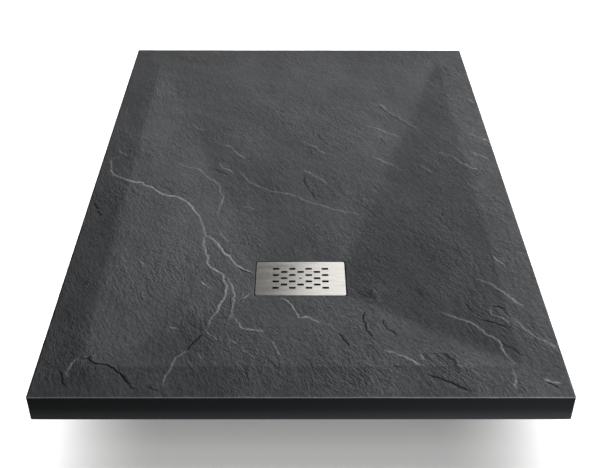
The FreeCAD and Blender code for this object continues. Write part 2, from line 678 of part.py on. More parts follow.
def lock_ring():
    """A nut on the spindle that locks against the tube, with notches for the fingers."""
    top = "Dim.tube_end - Dim.lock_ring_gap"
    body = turned("LockRing", ring_outline(
        f"2 * {SPINDLE_BORE}", "Dim.lock_ring_diameter", "Dim.lock_ring_bottom", top))
    sketch = sketch_on(body, "XY_Plane", "Notch", rise=top)
    circle(sketch, "Dim.ring_notch", across="Dim.lock_ring_diameter / 2 + Dim.ring_notch / 6")
    notch = pocket(body, sketch, "Dim.tube_end - Dim.lock_ring_bottom", "NotchCut")
    repeat_round(body, notch, "Dim.ring_notches")
    return body


def foot():
    """A hollow threaded spindle on a round foot, moulded in one."""
    hollow_floor = f"{FOOT_TOP} + Dim.foot_cone_height"
    shaft = "Dim.spindle_diameter / 2"
    return turned("Foot", [
        ("0", "Dim.sole_thickness"), ("Dim.foot_diameter / 2", "Dim.sole_thickness"),
        ("Dim.foot_diameter / 2", f"{FOOT_TOP} - Dim.foot_thickness / 2"),
        ("Dim.foot_diameter / 2 - Dim.foot_thickness / 2", FOOT_TOP),
        ("Dim.foot_cone_diameter / 2", FOOT_TOP), (shaft, hollow_floor), (shaft, "Dim.spindle_top"),
        ("Dim.spindle_inside / 2", "Dim.spindle_top"), ("Dim.spindle_inside / 2", hollow_floor),
        ("0", hollow_floor)])


def sole():
    """The rubber disc under a foot."""
    return cylinder("Dim.sole_diameter", "0", "Dim.sole_thickness")


adhesive = []
for name, (across, along) in LEGS.items():
    keep(put(leg_head(), across, along), f"leg_head_{name}")
    keep(put(lock_ring(), across, along), f"lock_ring_{name}")
    keep(put(foot(), across, along), f"foot_{name}")
    keep(put(sole(), across, along), f"foot_sole_{name}")
    adhesive.append(put(cylinder("Dim.adhesive_diameter", HEAD_TOP, UNDERSIDE), across, along, HEAD_TOP))
keep(gather(adhesive), "adhesive_pads")

# --- check and write ----------------------------------------------------------------------------

doc.recompute()
for thing in doc.Objects:
    if {"Invalid", "Error"} & set(thing.State):
        raise RuntimeError(f"{thing.Label} failed: {thing.State}")
for part in parts:
    if part.Shape.isNull() or not part.Shape.isValid() or not part.Shape.Solids:
        raise RuntimeError(f"{part.Label} has no valid solid")

os.makedirs("parts", exist_ok=True)
for part in parts:
    part.Shape.exportStep(f"parts/{part.Label}.step")
    box = part.Shape.BoundBox
    print(f"{part.Label:26s} solids {len(part.Shape.Solids)}  volume {part.Shape.Volume / 1000:10.2f} cm3  "
          f"x {box.XMin:7.1f} {box.XMax:7.1f}  y {box.YMin:7.1f} {box.YMax:7.1f}  "
          f"z {box.ZMin:6.1f} {box.ZMax:6.1f}")
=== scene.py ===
import math
import random

import bmesh
import bpy
from mathutils import Matrix, Vector, kdtree, noise


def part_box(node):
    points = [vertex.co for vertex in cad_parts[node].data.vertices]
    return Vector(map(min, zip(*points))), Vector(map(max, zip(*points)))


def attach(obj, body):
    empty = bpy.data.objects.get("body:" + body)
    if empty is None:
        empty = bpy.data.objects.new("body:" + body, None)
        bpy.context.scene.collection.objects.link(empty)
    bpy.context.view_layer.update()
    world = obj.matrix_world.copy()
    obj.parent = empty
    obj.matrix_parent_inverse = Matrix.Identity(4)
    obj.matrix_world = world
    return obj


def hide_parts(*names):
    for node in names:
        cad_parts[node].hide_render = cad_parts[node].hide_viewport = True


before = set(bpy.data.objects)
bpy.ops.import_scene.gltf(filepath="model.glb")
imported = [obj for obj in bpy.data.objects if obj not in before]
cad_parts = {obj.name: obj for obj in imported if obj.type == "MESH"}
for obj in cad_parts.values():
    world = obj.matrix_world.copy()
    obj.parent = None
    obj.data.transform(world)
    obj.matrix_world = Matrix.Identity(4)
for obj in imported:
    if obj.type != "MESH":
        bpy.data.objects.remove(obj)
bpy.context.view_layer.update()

# A slate-effect shower tray on adjustable legs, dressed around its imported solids. +Z is up and the
# drain end lies at -Y. Sizes of the object are written in millimetres and turned to metres by mm();
# places of the camera and the lamps are in metres.


def mm(value):
    """Millimetres in metres."""
    return value * 0.001


def show(name, data):
    """A new object in the scene."""
    thing = bpy.data.objects.new(name, data)
    bpy.context.scene.collection.objects.link(thing)
    return thing


# --- driving dimensions ---

SKIN_LOW, SKIN_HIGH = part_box("gel_coat")
GRATE_LOW, GRATE_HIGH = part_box("grate_plate")
HALF_WIDTH = SKIN_HIGH.x
HALF_LENGTH = SKIN_HIGH.y
RIM_TOP = SKIN_HIGH.z
UNDERSIDE = SKIN_LOW.z
DRAIN = (GRATE_LOW + GRATE_HIGH) / 2
RIM = mm(65)
FALL = RIM_TOP - GRATE_HIGH.z
GRATE_GAP = mm(1.9)  # between the grate and the wall of its recess
RECESS_HALF_X = (GRATE_HIGH.x - GRATE_LOW.x) / 2 + GRATE_GAP
RECESS_HALF_Y = (GRATE_HIGH.y - GRATE_LOW.y) / 2 + GRATE_GAP
RECESS_BORDER = mm(2)
RECESS_CORNER = mm(4)
RECESS_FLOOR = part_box("grate_pads")[0].z
WASTE_HOLE = mm(31)
COAT = mm(1)
TRAY_CORNER = mm(3)
EDGE_ROUND = mm(1.9)

# --- the camera ---

PHOTO_WIDTH, PHOTO_HEIGHT = 600, 468
FOCAL_PIXELS = 938.3
SENSOR_WIDTH = 36  # millimetres
SEEN_FROM, SEEN_TO = 0.05, 60
CAMERA_PLACE = Vector((-0.0085, -1.5708, RIM_TOP + 0.9823))
PITCH_DOWN = math.radians(35.442)
YAW = math.radians(-0.327)
ROLL = math.radians(0.22)


def camera_axes():
    """Right, up and forward of the camera."""
    right = Vector((math.cos(YAW), math.sin(YAW), 0))
    ahead = Vector((-math.sin(YAW), math.cos(YAW), 0))
    up = ahead * math.sin(PITCH_DOWN) + Vector((0, 0, math.cos(PITCH_DOWN)))
    forward = ahead * math.cos(PITCH_DOWN) - Vector((0, 0, math.sin(PITCH_DOWN)))
    rolled_right = right * math.cos(ROLL) + up * math.sin(ROLL)
    rolled_up = up * math.cos(ROLL) - right * math.sin(ROLL)
    return rolled_right, rolled_up, forward


def make_camera():
    """The camera that fits the photograph."""
    right, up, forward = camera_axes()
    data = bpy.data.cameras.new("camera")
    data.sensor_width = SENSOR_WIDTH
    data.lens = FOCAL_PIXELS * data.sensor_width / PHOTO_WIDTH
    data.clip_start = SEEN_FROM
    data.clip_end = SEEN_TO
    camera = show("camera", data)
    turned = Matrix((right, up, -forward)).transposed().to_4x4()
    camera.matrix_world = Matrix.Translation(CAMERA_PLACE) @ turned
    bpy.context.scene.camera = camera


# --- the form of the deck ---

VALLEY_SOFTNESS = mm(0.22)
RIM_SOFTNESS = mm(0.1)
RIM_REACH = 20 * RIM_SOFTNESS  # a drop at which the rim line no longer softens the falls
LEVEL_STEPS = 3  # how often the level under a pixel is found again


def deck_drop(x, y):
    """How far the four falls lie under the rim, with softened valleys and rim line."""
    rim_x, rim_y = HALF_WIDTH - RIM, HALF_LENGTH - RIM
    edge_x = RECESS_HALF_X + RECESS_BORDER
    edge_y = RECESS_HALF_Y + RECESS_BORDER
    planes = (
        (rim_x - abs(x)) / (rim_x - edge_x),
        (rim_y + y) / (rim_y + DRAIN.y - edge_y),
        (rim_y - y) / (rim_y - DRAIN.y - edge_y),
    )
    lowest = min(planes)
    spread = sum(math.exp((lowest - plane) * FALL / VALLEY_SOFTNESS) for plane in planes)
    drop = lowest * FALL - VALLEY_SOFTNESS * math.log(spread)
    if drop > RIM_REACH:
        return min(drop, FALL)
    return min(RIM_SOFTNESS * math.log(1 + math.exp(drop / RIM_SOFTNESS)), FALL)


def on_tray(px, py):
    """The point of the deck that shows at a pixel of the photograph."""
    right, up, forward = camera_axes()
    ray = forward * FOCAL_PIXELS + right * (px - PHOTO_WIDTH / 2) + up * (PHOTO_HEIGHT / 2 - py)
    level = RIM_TOP
    for _ in range(LEVEL_STEPS):
        point = CAMERA_PLACE + ray * ((level - CAMERA_PLACE.z) / ray.z)
        level = RIM_TOP - deck_drop(point.x, point.y)
    return Vector((point.x, point.y, 0))


# --- veins and cracks ---

# Lines of the slate relief as they run across the photograph, in its pixels: a width in
# millimetres, a strength and the points. First the raised pale seams, then the dark cracks.
SEAMS = [
    (2.6, 0.75, (119, 157), (112, 159), (110.7, 164), (110.8, 171), (113.7, 175), (119, 177),
     (126, 179.5), (131, 181.5), (142, 182.5), (146.6, 186), (152, 187.5), (157, 191),
     (162.7, 194.4), (170, 196), (175, 196.3), (183, 199.4), (188.7, 203), (192.5, 207.4),
     (198, 215), (201, 222), (204, 228), (205.6, 235.5)),
    (1.8, 0.5, (118.5, 149.5), (120, 152), (124.2, 153.7), (126.5, 156.4)),
    (2.4, 0.68, (205.6, 235.5), (204.7, 249.3), (207.6, 264.6), (214.3, 269.4), (222.9, 275),
     (226.7, 285.7), (223.8, 299), (217, 311.5), (208.5, 324), (202.8, 333.5)),
    (2.2, 0.5, (186.5, 350.7), (176, 357.4), (170, 370), (162.6, 385)),
    (2.4, 0.72, (205.6, 235.5), (208.5, 236), (216, 242.6), (223, 252), (232.4, 260.8),
     (242, 268.4), (254.4, 274.6)),
    (2.2, 0.58, (226.7, 277), (231.5, 285.7), (234.4, 295), (232.4, 306.7), (231.5, 312.4),
     (228.6, 320)),
    (2.0, 0.7, (231.5, 312.4), (237, 322), (241, 327.7), (252.5, 330), (263, 331.6)),
    (2.2, 0.8, (281, 298), (287, 301), (292.7, 308.6), (298.4, 318), (305.7, 316.8), (319, 323)),
    (1.8, 0.35, (270.7, 341), (276, 349), (282, 357.4)),
    (1.8, 0.1, (81, 354.5), (85, 357), (92, 359.5), (97, 362), (107, 363.5), (115.5, 368),
     (122, 373)),
    (2.4, 0.5, (78, 358), (74.6, 360), (71, 364.6), (66.6, 371), (67.5, 377)),
    (1.8, 0.4, (50.7, 324), (50, 332.5)),
    (2.0, 0.4, (177.7, 162.8), (185, 166), (199, 169.4), (208.5, 178), (218, 183.7), (220, 191),
     (223.8, 197), (220, 206.6), (217.7, 213)),
    (2.0, 0.6, (224.8, 145.4), (231.5, 147), (237, 153), (245.8, 158.8)),
    (1.8, 0.5, (191, 124.4), (202.8, 130)),
    (2.2, 0.33, (238, 170), (246.8, 180), (262, 187.5), (273.6, 192), (290.8, 194), (300, 198),
     (311.5, 202.8), (325, 206.6), (338, 210.4), (353.6, 213), (363, 217)),
    (1.8, 0.5, (220, 162.6), (222, 168.4), (229.6, 170), (232.4, 173)),
    (1.8, 0.45, (243, 206.6), (249, 207), (254.4, 210)),
    (1.8, 0.5, (303.8, 141.6), (315, 146.4), (325.8, 154)),
    (1.8, 0.45, (303.8, 170), (315, 176), (326.8, 183.7)),
    (2.2, 0.32, (377.5, 102.4), (386, 110), (395.7, 115.7), (407, 122.4), (418.6, 132)),
    (2.0, 0.4, (365, 125), (382, 130), (401.4, 137.7)),
    (2.0, 0.4, (372.7, 156), (382, 160.7), (391.8, 164.5), (397.6, 170), (404, 170)),
    (2.2, 0.4, (432, 151), (453, 157), (472, 168.4), (479.8, 170)),
    (1.8, 0.5, (420.5, 164.5), (432, 172)),
    (1.8, 0.5, (468.4, 99.5), (474, 103)),
    (2.0, 0.6, (470, 134), (489.4, 142.5)),
    (2.0, 0.4, (470, 151), (476, 154), (488.4, 159.7)),
    (1.8, 0.5, (430, 82), (436.8, 87)),
    (2.4, 0.52, (477, 279), (491.8, 285), (501, 290.7), (508, 295.8), (514.8, 301.6),
     (522.8, 305.6)),
    (2.0, 0.4, (493, 256), (502.8, 263.7)),
    (2.4, 0.62, (439, 312), (450.5, 316), (462, 319.6), (469, 321.7), (478, 328), (484, 333.7),
     (497.6, 340.6), (501, 348), (506.8, 356), (514.8, 363.6)),
    (2.4, 0.3, (513, 318), (520.5, 325), (527.4, 330.8), (537.8, 338), (551.5, 345), (558.4, 348)),
    (2.2, 0.47, (489.5, 308), (491, 313.6), (501, 317.6), (506.8, 321.7), (509, 325)),
    (2.2, 0.35, (512.5, 370), (515.4, 376.8), (514, 384.8), (516.5, 390.5)),
    (2.2, 0.7, (545, 379.6), (552.7, 382.5), (562, 383.6)),
    (2.2, 0.65, (385, 350.7), (399.5, 355.5), (411.5, 360), (419.5, 364.8)),
    (1.8, 0.45, (418.4, 350.4), (423.5, 359.5)),
    (1.8, 0.4, (201, 281), (206, 285.5), (212, 290)),
    (1.8, 0.35, (188, 304), (190.5, 307), (193.5, 310.5)),
    (1.8, 0.35, (169, 327), (175, 328), (180, 330.5)),
    (1.8, 0.45, (204, 331), (210, 335), (218, 340)),
    (1.8, 0.4, (228, 338), (235, 343), (243, 350), (256, 358)),
    (1.8, 0.35, (198, 353), (201, 357), (204, 362)),
    (1.8, 0.35, (136, 258), (141, 262), (148, 268)),
    (1.8, 0.35, (220, 231), (223, 237), (228, 242)),
    (1.8, 0.35, (242, 298), (246, 297), (250, 294)),
]
CRACKS = [
    (2.0, 0.8, (202.8, 333.5), (193, 343), (186.5, 350.7)),
    (1.8, 0.8, (239, 268), (243, 271), (249, 272.5), (254, 274)),
    (2.4, 0.9, (80, 356), (83.6, 359), (89, 357.5), (90.7, 361), (96, 363.6), (106.8, 365),
     (114.8, 369.6), (121, 374.5), (124.6, 379.4), (129, 383.4), (131, 388), (136, 388.6)),
    (2.0, 0.5, (145, 386.5), (152, 389), (158.6, 390)),
    (2.0, 0.8, (58.6, 370.4), (61, 377), (61.7, 381.6), (64.8, 385.6)),
    (2.4, 0.8, (94, 203), (98.8, 209)),
    (2.4, 0.8, (97.7, 211), (101, 216)),
    (1.8, 0.6, (214, 169), (227.7, 175)),
    (1.8, 0.6, (317, 134), (328.7, 145.4)),
    (1.8, 0.5, (305.7, 145.4), (313.4, 155)),
    (1.8, 0.65, (303, 175), (307.7, 188), (315, 199)),
    (1.8, 0.6, (376, 103.5), (385, 111.5), (395, 117.3), (406, 124)),
    (1.8, 0.5, (381, 137.7), (385, 145.4)),
    (2.0, 0.5, (501, 342), (511.4, 348), (521.7, 356)),
    (1.8, 0.7, (491.8, 306), (500, 307), (506, 309.6)),
    (1.8, 0.9, (482.7, 319.4), (495, 322.8), (503, 326), (508, 329.7)),
    (1.8, 0.6, (466.6, 304.4), (473.5, 312)),
    (1.8, 0.7, (547, 382), (558.4, 388)),
    (2.2, 0.8, (427.6, 374), (439, 378), (449.4, 382), (459.7, 387), (473.5, 391.7)),
    (1.8, 1.0, (444, 353.8), (455, 361.8)),
    (2.0, 0.4, (368, 289.5), (371.7, 297)),
    (1.8, 0.95, (365, 311.5), (366, 327.7), (374.6, 339)),
    (1.8, 1.0, (383, 320), (388, 329.7), (398.5, 336.4)),
    (1.8, 1.0, (339, 333.5), (348.8, 345.9)),
    (2.0, 0.3, (373, 287.5), (371.6, 293.5), (374, 299), (378, 303)),
    (1.8, 0.8, (393, 365), (397, 366.5), (402, 367)),
    (1.8, 0.8, (442, 353), (449, 359), (457, 367)),
    (1.6, 0.25, (522, 367), (532, 373), (543, 380)),
]

# Where the stone is split roughest: a pixel of the photograph, a reach in metres and a strength.
ROUGH_PATCHES = [
    ((225, 345), 0.065, 0.9), ((205, 318), 0.04, 0.5), ((455, 364), 0.03, 1.6),
    ((428, 352), 0.025, 0.7), ((372, 291), 0.014, 1.2), ((85, 362), 0.03, 0.7),
    ((70, 330), 0.03, 0.4), ((232, 290), 0.03, 0.7), ((370, 382), 0.04, 0.7),
    ((250, 378), 0.05, 0.5), ((160, 270), 0.05, 0.5), ((330, 120), 0.09, 0.4),
]

SEAM_WIDEN, CRACK_WIDEN = 1.15, 1.2  # how wide each kind is next to its first measure
VEIN_STEP = mm(1.0)
VEIN_WANDER = 0.11  # how far a line strays between its points, as a share of their distance
VEIN_END, VEIN_TAPER = 0.35, 4  # the strength at an end, and its growth over the line's length
SWELL, SWELL_RANGE, SWELL_STEP = 0.78, 0.5, 0.09  # how a line swells and thins along its way
SWELL_STARTS = 50  # a line's swelling begins anywhere within this length of the noise
WIDTH_LEAST, WIDTH_RANGE = 0.75, 0.5  # the width without swelling, and what swelling adds to it
FAINTEST, FAINT_LIFT = 0.3, 0.15  # the least strength, and how far it stays above the swelling
RIDGE_HEIGHT = mm(0.34)
CRACK_DEPTH = mm(0.35)
LEDGE_HEIGHT = mm(0.12)
LEDGE_REACH = mm(9)


def jagged(start, end, rng):
    """The points between two ends of a line that breaks like stone, without the last one."""
    if (end - start).length < VEIN_STEP:
        return [start]
    across = Vector((start.y - end.y, end.x - start.x, 0))
    middle = (start + end) / 2 + across * rng.uniform(-VEIN_WANDER, VEIN_WANDER)
    return jagged(start, middle, rng) + jagged(middle, end, rng)


class Lines:
    """The lines of one kind, sampled, with the nearest one found quickly."""

    def __init__(self, lines, widen, rng):
        self.samples = []
        for width, strength, *pixels in lines:
            points = [on_tray(*pixel) for pixel in pixels]
            path = []
            for start, end in zip(points, points[1:]):
                path += jagged(start, end, rng)
            path.append(points[-1])
            last = len(path) - 1
            phase = rng.uniform(0, SWELL_STARTS)
            for n, point in enumerate(path):
                ahead = path[min(n + 1, last)] - path[max(n - 1, 0)]
                taper = min(1, VEIN_END + VEIN_TAPER * (min(n, last - n) / max(last, 1)))
                swell = SWELL + SWELL_RANGE * noise.noise(Vector((n * SWELL_STEP, phase, 0)))
                half = mm(width) / 2 * widen * (WIDTH_LEAST + WIDTH_RANGE * swell)
                here = strength * taper * min(1, max(FAINTEST, swell + FAINT_LIFT))
                self.samples.append((point, ahead.normalized(), half, here))
        self.tree = kdtree.KDTree(len(self.samples))
        for n, sample in enumerate(self.samples):
            self.tree.insert(sample[0], n)
        self.tree.balance()

    def nearest(self, point):
        """Distance, side, half width and strength of the nearest line."""
        place, n, distance = self.tree.find(point)
        _, ahead, half, strength = self.samples[n]
        side = ahead.cross(point - place).z
        return distance, (1 if side > 0 else -1), half, strength


# --- the slate relief ---

GRAIN_DIRECTION = -62  # degrees; the grain runs from the far left to the near right
GRAIN_ANGLE = math.radians(GRAIN_DIRECTION)
DIAGONAL = Vector((math.cos(GRAIN_ANGLE), math.sin(GRAIN_ANGLE), 0))
CROSSWISE = Vector((-DIAGONAL.y, DIAGONAL.x, 0))
# The noises of the stone: an amount, a length along the grain and one across it, in millimetres,
# and a seed.
WAVES = ((mm(0.22), 180, 110, 1.3), (mm(0.10), 52, 30, 5.9), (mm(0.05), 21, 12, 2.2))
FLAKES = ((1, 95, 48, 3.7), (0.5, 34, 19, 8.1))
TERRACES, TERRACE_RANGE, TERRACE_HEIGHT = 8, 2.2, mm(0.8)
STEP_START, STEP_STEEPNESS = 0.38, 4.2  # where a step begins within its terrace
DEEPEST = mm(0.6)
# painted shade darkens the flat rim; it fades out over this drop into the falls
DECK_SHADE = mm(0.3)  # how deep the falls reach their own shade


def grain(point, noises):
    """Smooth noises stretched along the grain, added up."""
    along, across = point.dot(DIAGONAL), point.dot(CROSSWISE)
    return sum(amount * noise.noise(Vector((along / mm(length), across / mm(width), seed)))
               for amount, length, width, seed in noises)


def terraces(point):
    """Flat flakes of stone with short steps between them, from 0 to about 1."""
    height = TERRACE_RANGE * grain(point, FLAKES) + TERRACES / 2
    level = math.floor(height)
    return (level + min(1, max(0, (height - level - STEP_START) * STEP_STEEPNESS))) / TERRACES


def relief(point):
    """The height of the riven surface over the plain falls, away from the lines."""
    return grain(point, WAVES) + TERRACE_HEIGHT * (terraces(point) - 0.5)


# The rounded rectangles of the deck: half their sizes, their middle and the radius of a corner.
DECK_OUTLINE = (HALF_WIDTH - EDGE_ROUND, HALF_LENGTH - EDGE_ROUND, Vector((0, 0, 0)),
                TRAY_CORNER - EDGE_ROUND)
RECESS_OUTLINE = (RECESS_HALF_X, RECESS_HALF_Y, DRAIN, RECESS_CORNER)


def recess_distance(x, y):
    """How far a point lies outside the recess."""
    past_x, past_y = abs(x - DRAIN.x) - RECESS_HALF_X, abs(y - DRAIN.y) - RECESS_HALF_Y
    return math.hypot(max(past_x, 0), max(past_y, 0))


# --- mesh helpers ---

ARC_STEPS = (0, 15, 30, 45)
MERGE = mm(0.02)  # a cut this near a vertex goes through it
SPECK = mm(0.001)  # a reach that counts as none
LEVEL = 0.999  # the z share of a normal from which its face is level


def within(point, centre, half_x, half_y):
    """Whether a point lies inside a rectangle round a centre."""
    return abs(point.x - centre.x) < half_x and abs(point.y - centre.y) < half_y


def grid(half_x, half_y, cells, centre=(0, 0, 0)):
    """A flat sheet of cells round a centre."""
    bm = bmesh.new()
    bmesh.ops.create_grid(bm, x_segments=cells[0], y_segments=cells[1], size=1)
    bmesh.ops.scale(bm, vec=(half_x, half_y, 1), verts=bm.verts)
    bmesh.ops.translate(bm, vec=centre, verts=bm.verts)
    return bm


def cut_lines(bm, axis, places):
    """Cut a mesh across one axis at each place."""
    normal = Vector((1, 0, 0)) if axis == 0 else Vector((0, 1, 0))
    for place in places:
        everything = bm.verts[:] + bm.edges[:] + bm.faces[:]
        bmesh.ops.bisect_plane(bm, geom=everything, dist=MERGE, plane_co=normal * place,
                               plane_no=normal)


def cut_corners(bm, axis, half, centre, radius):
    """Cut a mesh across one axis where the arcs of two rounded corners have their points."""
    reaches = [half - radius + radius * math.tan(math.radians(angle)) for angle in ARC_STEPS]
    cut_lines(bm, axis, [centre + side * reach for side in (-1, 1) for reach in reaches])


def corner_offset(point, half_x, half_y, centre, radius):
    """Where a point lies in the corner square of a rounded rectangle, and its signs."""
    offset = point - centre
    signs = Vector((math.copysign(1, offset.x), math.copysign(1, offset.y)))
    return Vector((abs(offset.x) - (half_x - radius), abs(offset.y) - (half_y - radius))), signs


def round_corner(point, half_x, half_y, centre, radius):
    """Move a point of a rectangle's corner square onto the arc through it."""
    corner, signs = corner_offset(point, half_x, half_y, centre, radius)
    if min(corner) <= SPECK:
        return
    corner = corner.normalized() * max(corner)
    point.x = centre.x + signs.x * (half_x - radius + corner.x)
    point.y = centre.y + signs.y * (half_y - radius + corner.y)


def outward(point, half_x, half_y, centre, radius):
    """The direction out of a rounded rectangle at a point of its outline."""
    corner, signs = corner_offset(point, half_x, half_y, centre, radius)
    if min(corner) > SPECK:
        corner.normalize()
        return Vector((signs.x * corner.x, signs.y * corner.y, 0))
    if corner.x > corner.y:
        return Vector((signs.x, 0, 0))
    return Vector((0, signs.y, 0))


def rings(bm, edges, place):
    """Extrude a ring of edges and put each new vertex where place says; returns the new ring."""
    made = bmesh.ops.extrude_edge_only(bm, edges=edges)["geom"]
    for item in made:
        if isinstance(item, bmesh.types.BMVert):
            place(item)
    return [item for item in made if isinstance(item, bmesh.types.BMEdge) and item.is_boundary]


def sharp_edges(bm, degrees):
    """The edges whose two faces meet at more than an angle."""
    return [edge for edge in bm.edges
            if edge.is_manifold and edge.calc_face_angle(0) > math.radians(degrees)]


def ease_edges(bm, edges, ease, **settings):
    """Ease edges to a narrow arc of two faces."""
    bmesh.ops.bevel(bm, geom=edges, offset=ease, segments=2, profile=0.5, affect="EDGES",
                    material=-1, **settings)


def make_piece(bm, name, body, stands_for, material, sharp=35, flat_over=None):
    """Turn a mesh into a piece of the object that rides on a body and stands for CAD nodes.
    With flat_over, level faces and faces of a larger area are shaded flat, and only the eased edges
    between them curve."""
    bmesh.ops.recalc_face_normals(bm, faces=bm.faces)
    mesh = bpy.data.meshes.new(name)
    bm.to_mesh(mesh)
    bm.free()
    mesh.set_sharp_from_angle(angle=math.radians(sharp))
    for polygon in mesh.polygons:
        level = abs(polygon.normal.z) > LEVEL
        polygon.use_smooth = flat_over is None or (polygon.area < flat_over and not level)
    mesh.materials.append(material)
    piece = show(name, mesh)
    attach(piece, body)
    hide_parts(*stands_for)
    return piece


# --- the gel coat, a thin closed shell ---

GRID_CELL = mm(6)
BANDS = (mm(8), mm(3.6), mm(1.5))  # how near a line the grid is halved, again and again
RIM_CUTS = (-mm(2), mm(1))  # where the sheet is cut beside the rim line, so that it stays crisp
RECESS_KEEP = mm(4)  # how near the recess the grid stays as it is
RELIEF_FADE = mm(7)
LIP_ROUND = mm(1.2)
INNER = 0.9 * COAT
AT_RECESS = mm(0.1)  # a vertex this near the recess lies on its outline
ON_OUTLINE = mm(1)  # a border edge this near the recess belongs to it
# the strength of the painted highlight on the rolled edge of the short sides
EDGE_HIGHLIGHT = 0.75
SIDEWAYS = 0.7  # the x share of a way out that belongs to a long side


def flat_sheet(pale, dark):
    """The deck as a flat sheet with the recess cut out, finer beside the lines."""
    half_x, half_y = DECK_OUTLINE[:2]
    bm = grid(half_x, half_y, [round(2 * half / GRID_CELL) for half in (half_x, half_y)])
    for axis, rim_line in ((0, HALF_WIDTH - RIM), (1, HALF_LENGTH - RIM)):
        cut_lines(bm, axis, [side * (rim_line + step) for side in (-1, 1) for step in RIM_CUTS])
    for axis in (0, 1):
        for outline in (RECESS_OUTLINE, DECK_OUTLINE):
            cut_corners(bm, axis, outline[axis], outline[2][axis], outline[3])
    inside = [face for face in bm.faces
              if within(face.calc_center_median(), DRAIN, RECESS_HALF_X, RECESS_HALF_Y)]
    bmesh.ops.delete(bm, geom=inside, context="FACES")
    for band in BANDS:
        near = set()
        for face in bm.faces:
            centre = face.calc_center_median()
            inset = min(half_x - abs(centre.x), half_y - abs(centre.y))
            if recess_distance(centre.x, centre.y) < RECESS_KEEP or inset < GRID_CELL:
                continue
            flat = Vector((centre.x, centre.y, 0))
            if pale.nearest(flat)[0] < band or dark.nearest(flat)[0] < band:
                near.update(face.edges)
        bmesh.ops.subdivide_edges(bm, edges=list(near), cuts=1, use_grid_fill=True)
    for vert in bm.verts:
        if recess_distance(vert.co.x, vert.co.y) < AT_RECESS:
            round_corner(vert.co, *RECESS_OUTLINE)
        round_corner(vert.co, *DECK_OUTLINE)
    return bm


def raise_sheet(bm, pale, dark):
    """Bring the sheet onto the falls and give it its relief. What its material has to know is kept
    on the vertices, in the layers that are returned."""
    names = ("pale_line", "dark_line", "plain_edge", "inside_rim", "in_recess", "right_side",
             "rough_patch")
    layers = {name: bm.verts.layers.float.new(name) for name in names}
    layers["home"] = bm.verts.layers.float_vector.new("home")
    patches = [(on_tray(*pixel), reach, amount) for pixel, reach, amount in ROUGH_PATCHES]
    for vert in bm.verts:
        flat = Vector((vert.co.x, vert.co.y, 0))
        gap, side, half, strength = pale.nearest(flat)
        crack_gap, _, crack_half, crack_strength = dark.nearest(flat)
        seam = strength * math.exp(-((gap / half) ** 2))
        crack = crack_strength * math.exp(-((crack_gap / crack_half) ** 2))
        ledge = side * strength * LEDGE_HEIGHT * math.exp(-gap / LEDGE_REACH)
        height = relief(flat) + RIDGE_HEIGHT * seam - CRACK_DEPTH * crack + ledge
        fade = min(1, recess_distance(flat.x, flat.y) / RELIEF_FADE)
        drop = deck_drop(flat.x, flat.y)
        vert.co.z = RIM_TOP - drop + max(height, -DEEPEST) * fade
        vert[layers["pale_line"]] = seam * fade
        vert[layers["dark_line"]] = crack * fade
        vert[layers["rough_patch"]] = sum(amount * math.exp(-((flat - place).length / reach) ** 2)
                                          for place, reach, amount in patches)
        vert[layers["inside_rim"]] = min(1, drop / DECK_SHADE)
        vert[layers["home"]] = vert.co
    return layers


def roll(bm, edges, layers, direction, radius, highlight=0.0):
    """Round an outline over a quarter turn and return its last ring. Given a strength, it is the
    outer edge of the tray, with a painted highlight on the short sides; without, it is the lip of
    the recess, plain and painted dark as shade."""
    for angle in (30, 60, 90):
        out = radius * math.sin(math.radians(angle))
        drop = radius * (1 - math.cos(math.radians(angle)))

        def place(vert, out=out, drop=drop, share=angle / 90):
            home = vert[layers["home"]]
            way = direction(home)
            vert.co = home + way * out - Vector((0, 0, drop))
            # painted shade on the long sides and the recess lip, a painted highlight on the short
            # sides' rolled edge
            plain = abs(way.x) > SIDEWAYS or not highlight
            vert[layers["plain_edge"]] = 1 if plain else max(0, 2 * share - 1)
            vert[layers["pale_line"]] = 0 if plain else highlight * (1 - share)
            vert[layers["in_recess"]] = 0 if highlight else 1
            vert[layers["right_side"]] = float(way.x > SIDEWAYS)

        edges = rings(bm, edges, place)
    return edges


def wall(bm, edges, layers, direction, out, level):
    """Take an outline to a level, at a distance out from where it began."""

    def place(vert):
        home = vert[layers["home"]]
        way = direction(home)
        spot = home + way * out
        vert.co = (spot.x, spot.y, level)
        vert[layers["plain_edge"]] = 1
        vert[layers["right_side"]] = float(way.x > SIDEWAYS)

    return rings(bm, edges, place)


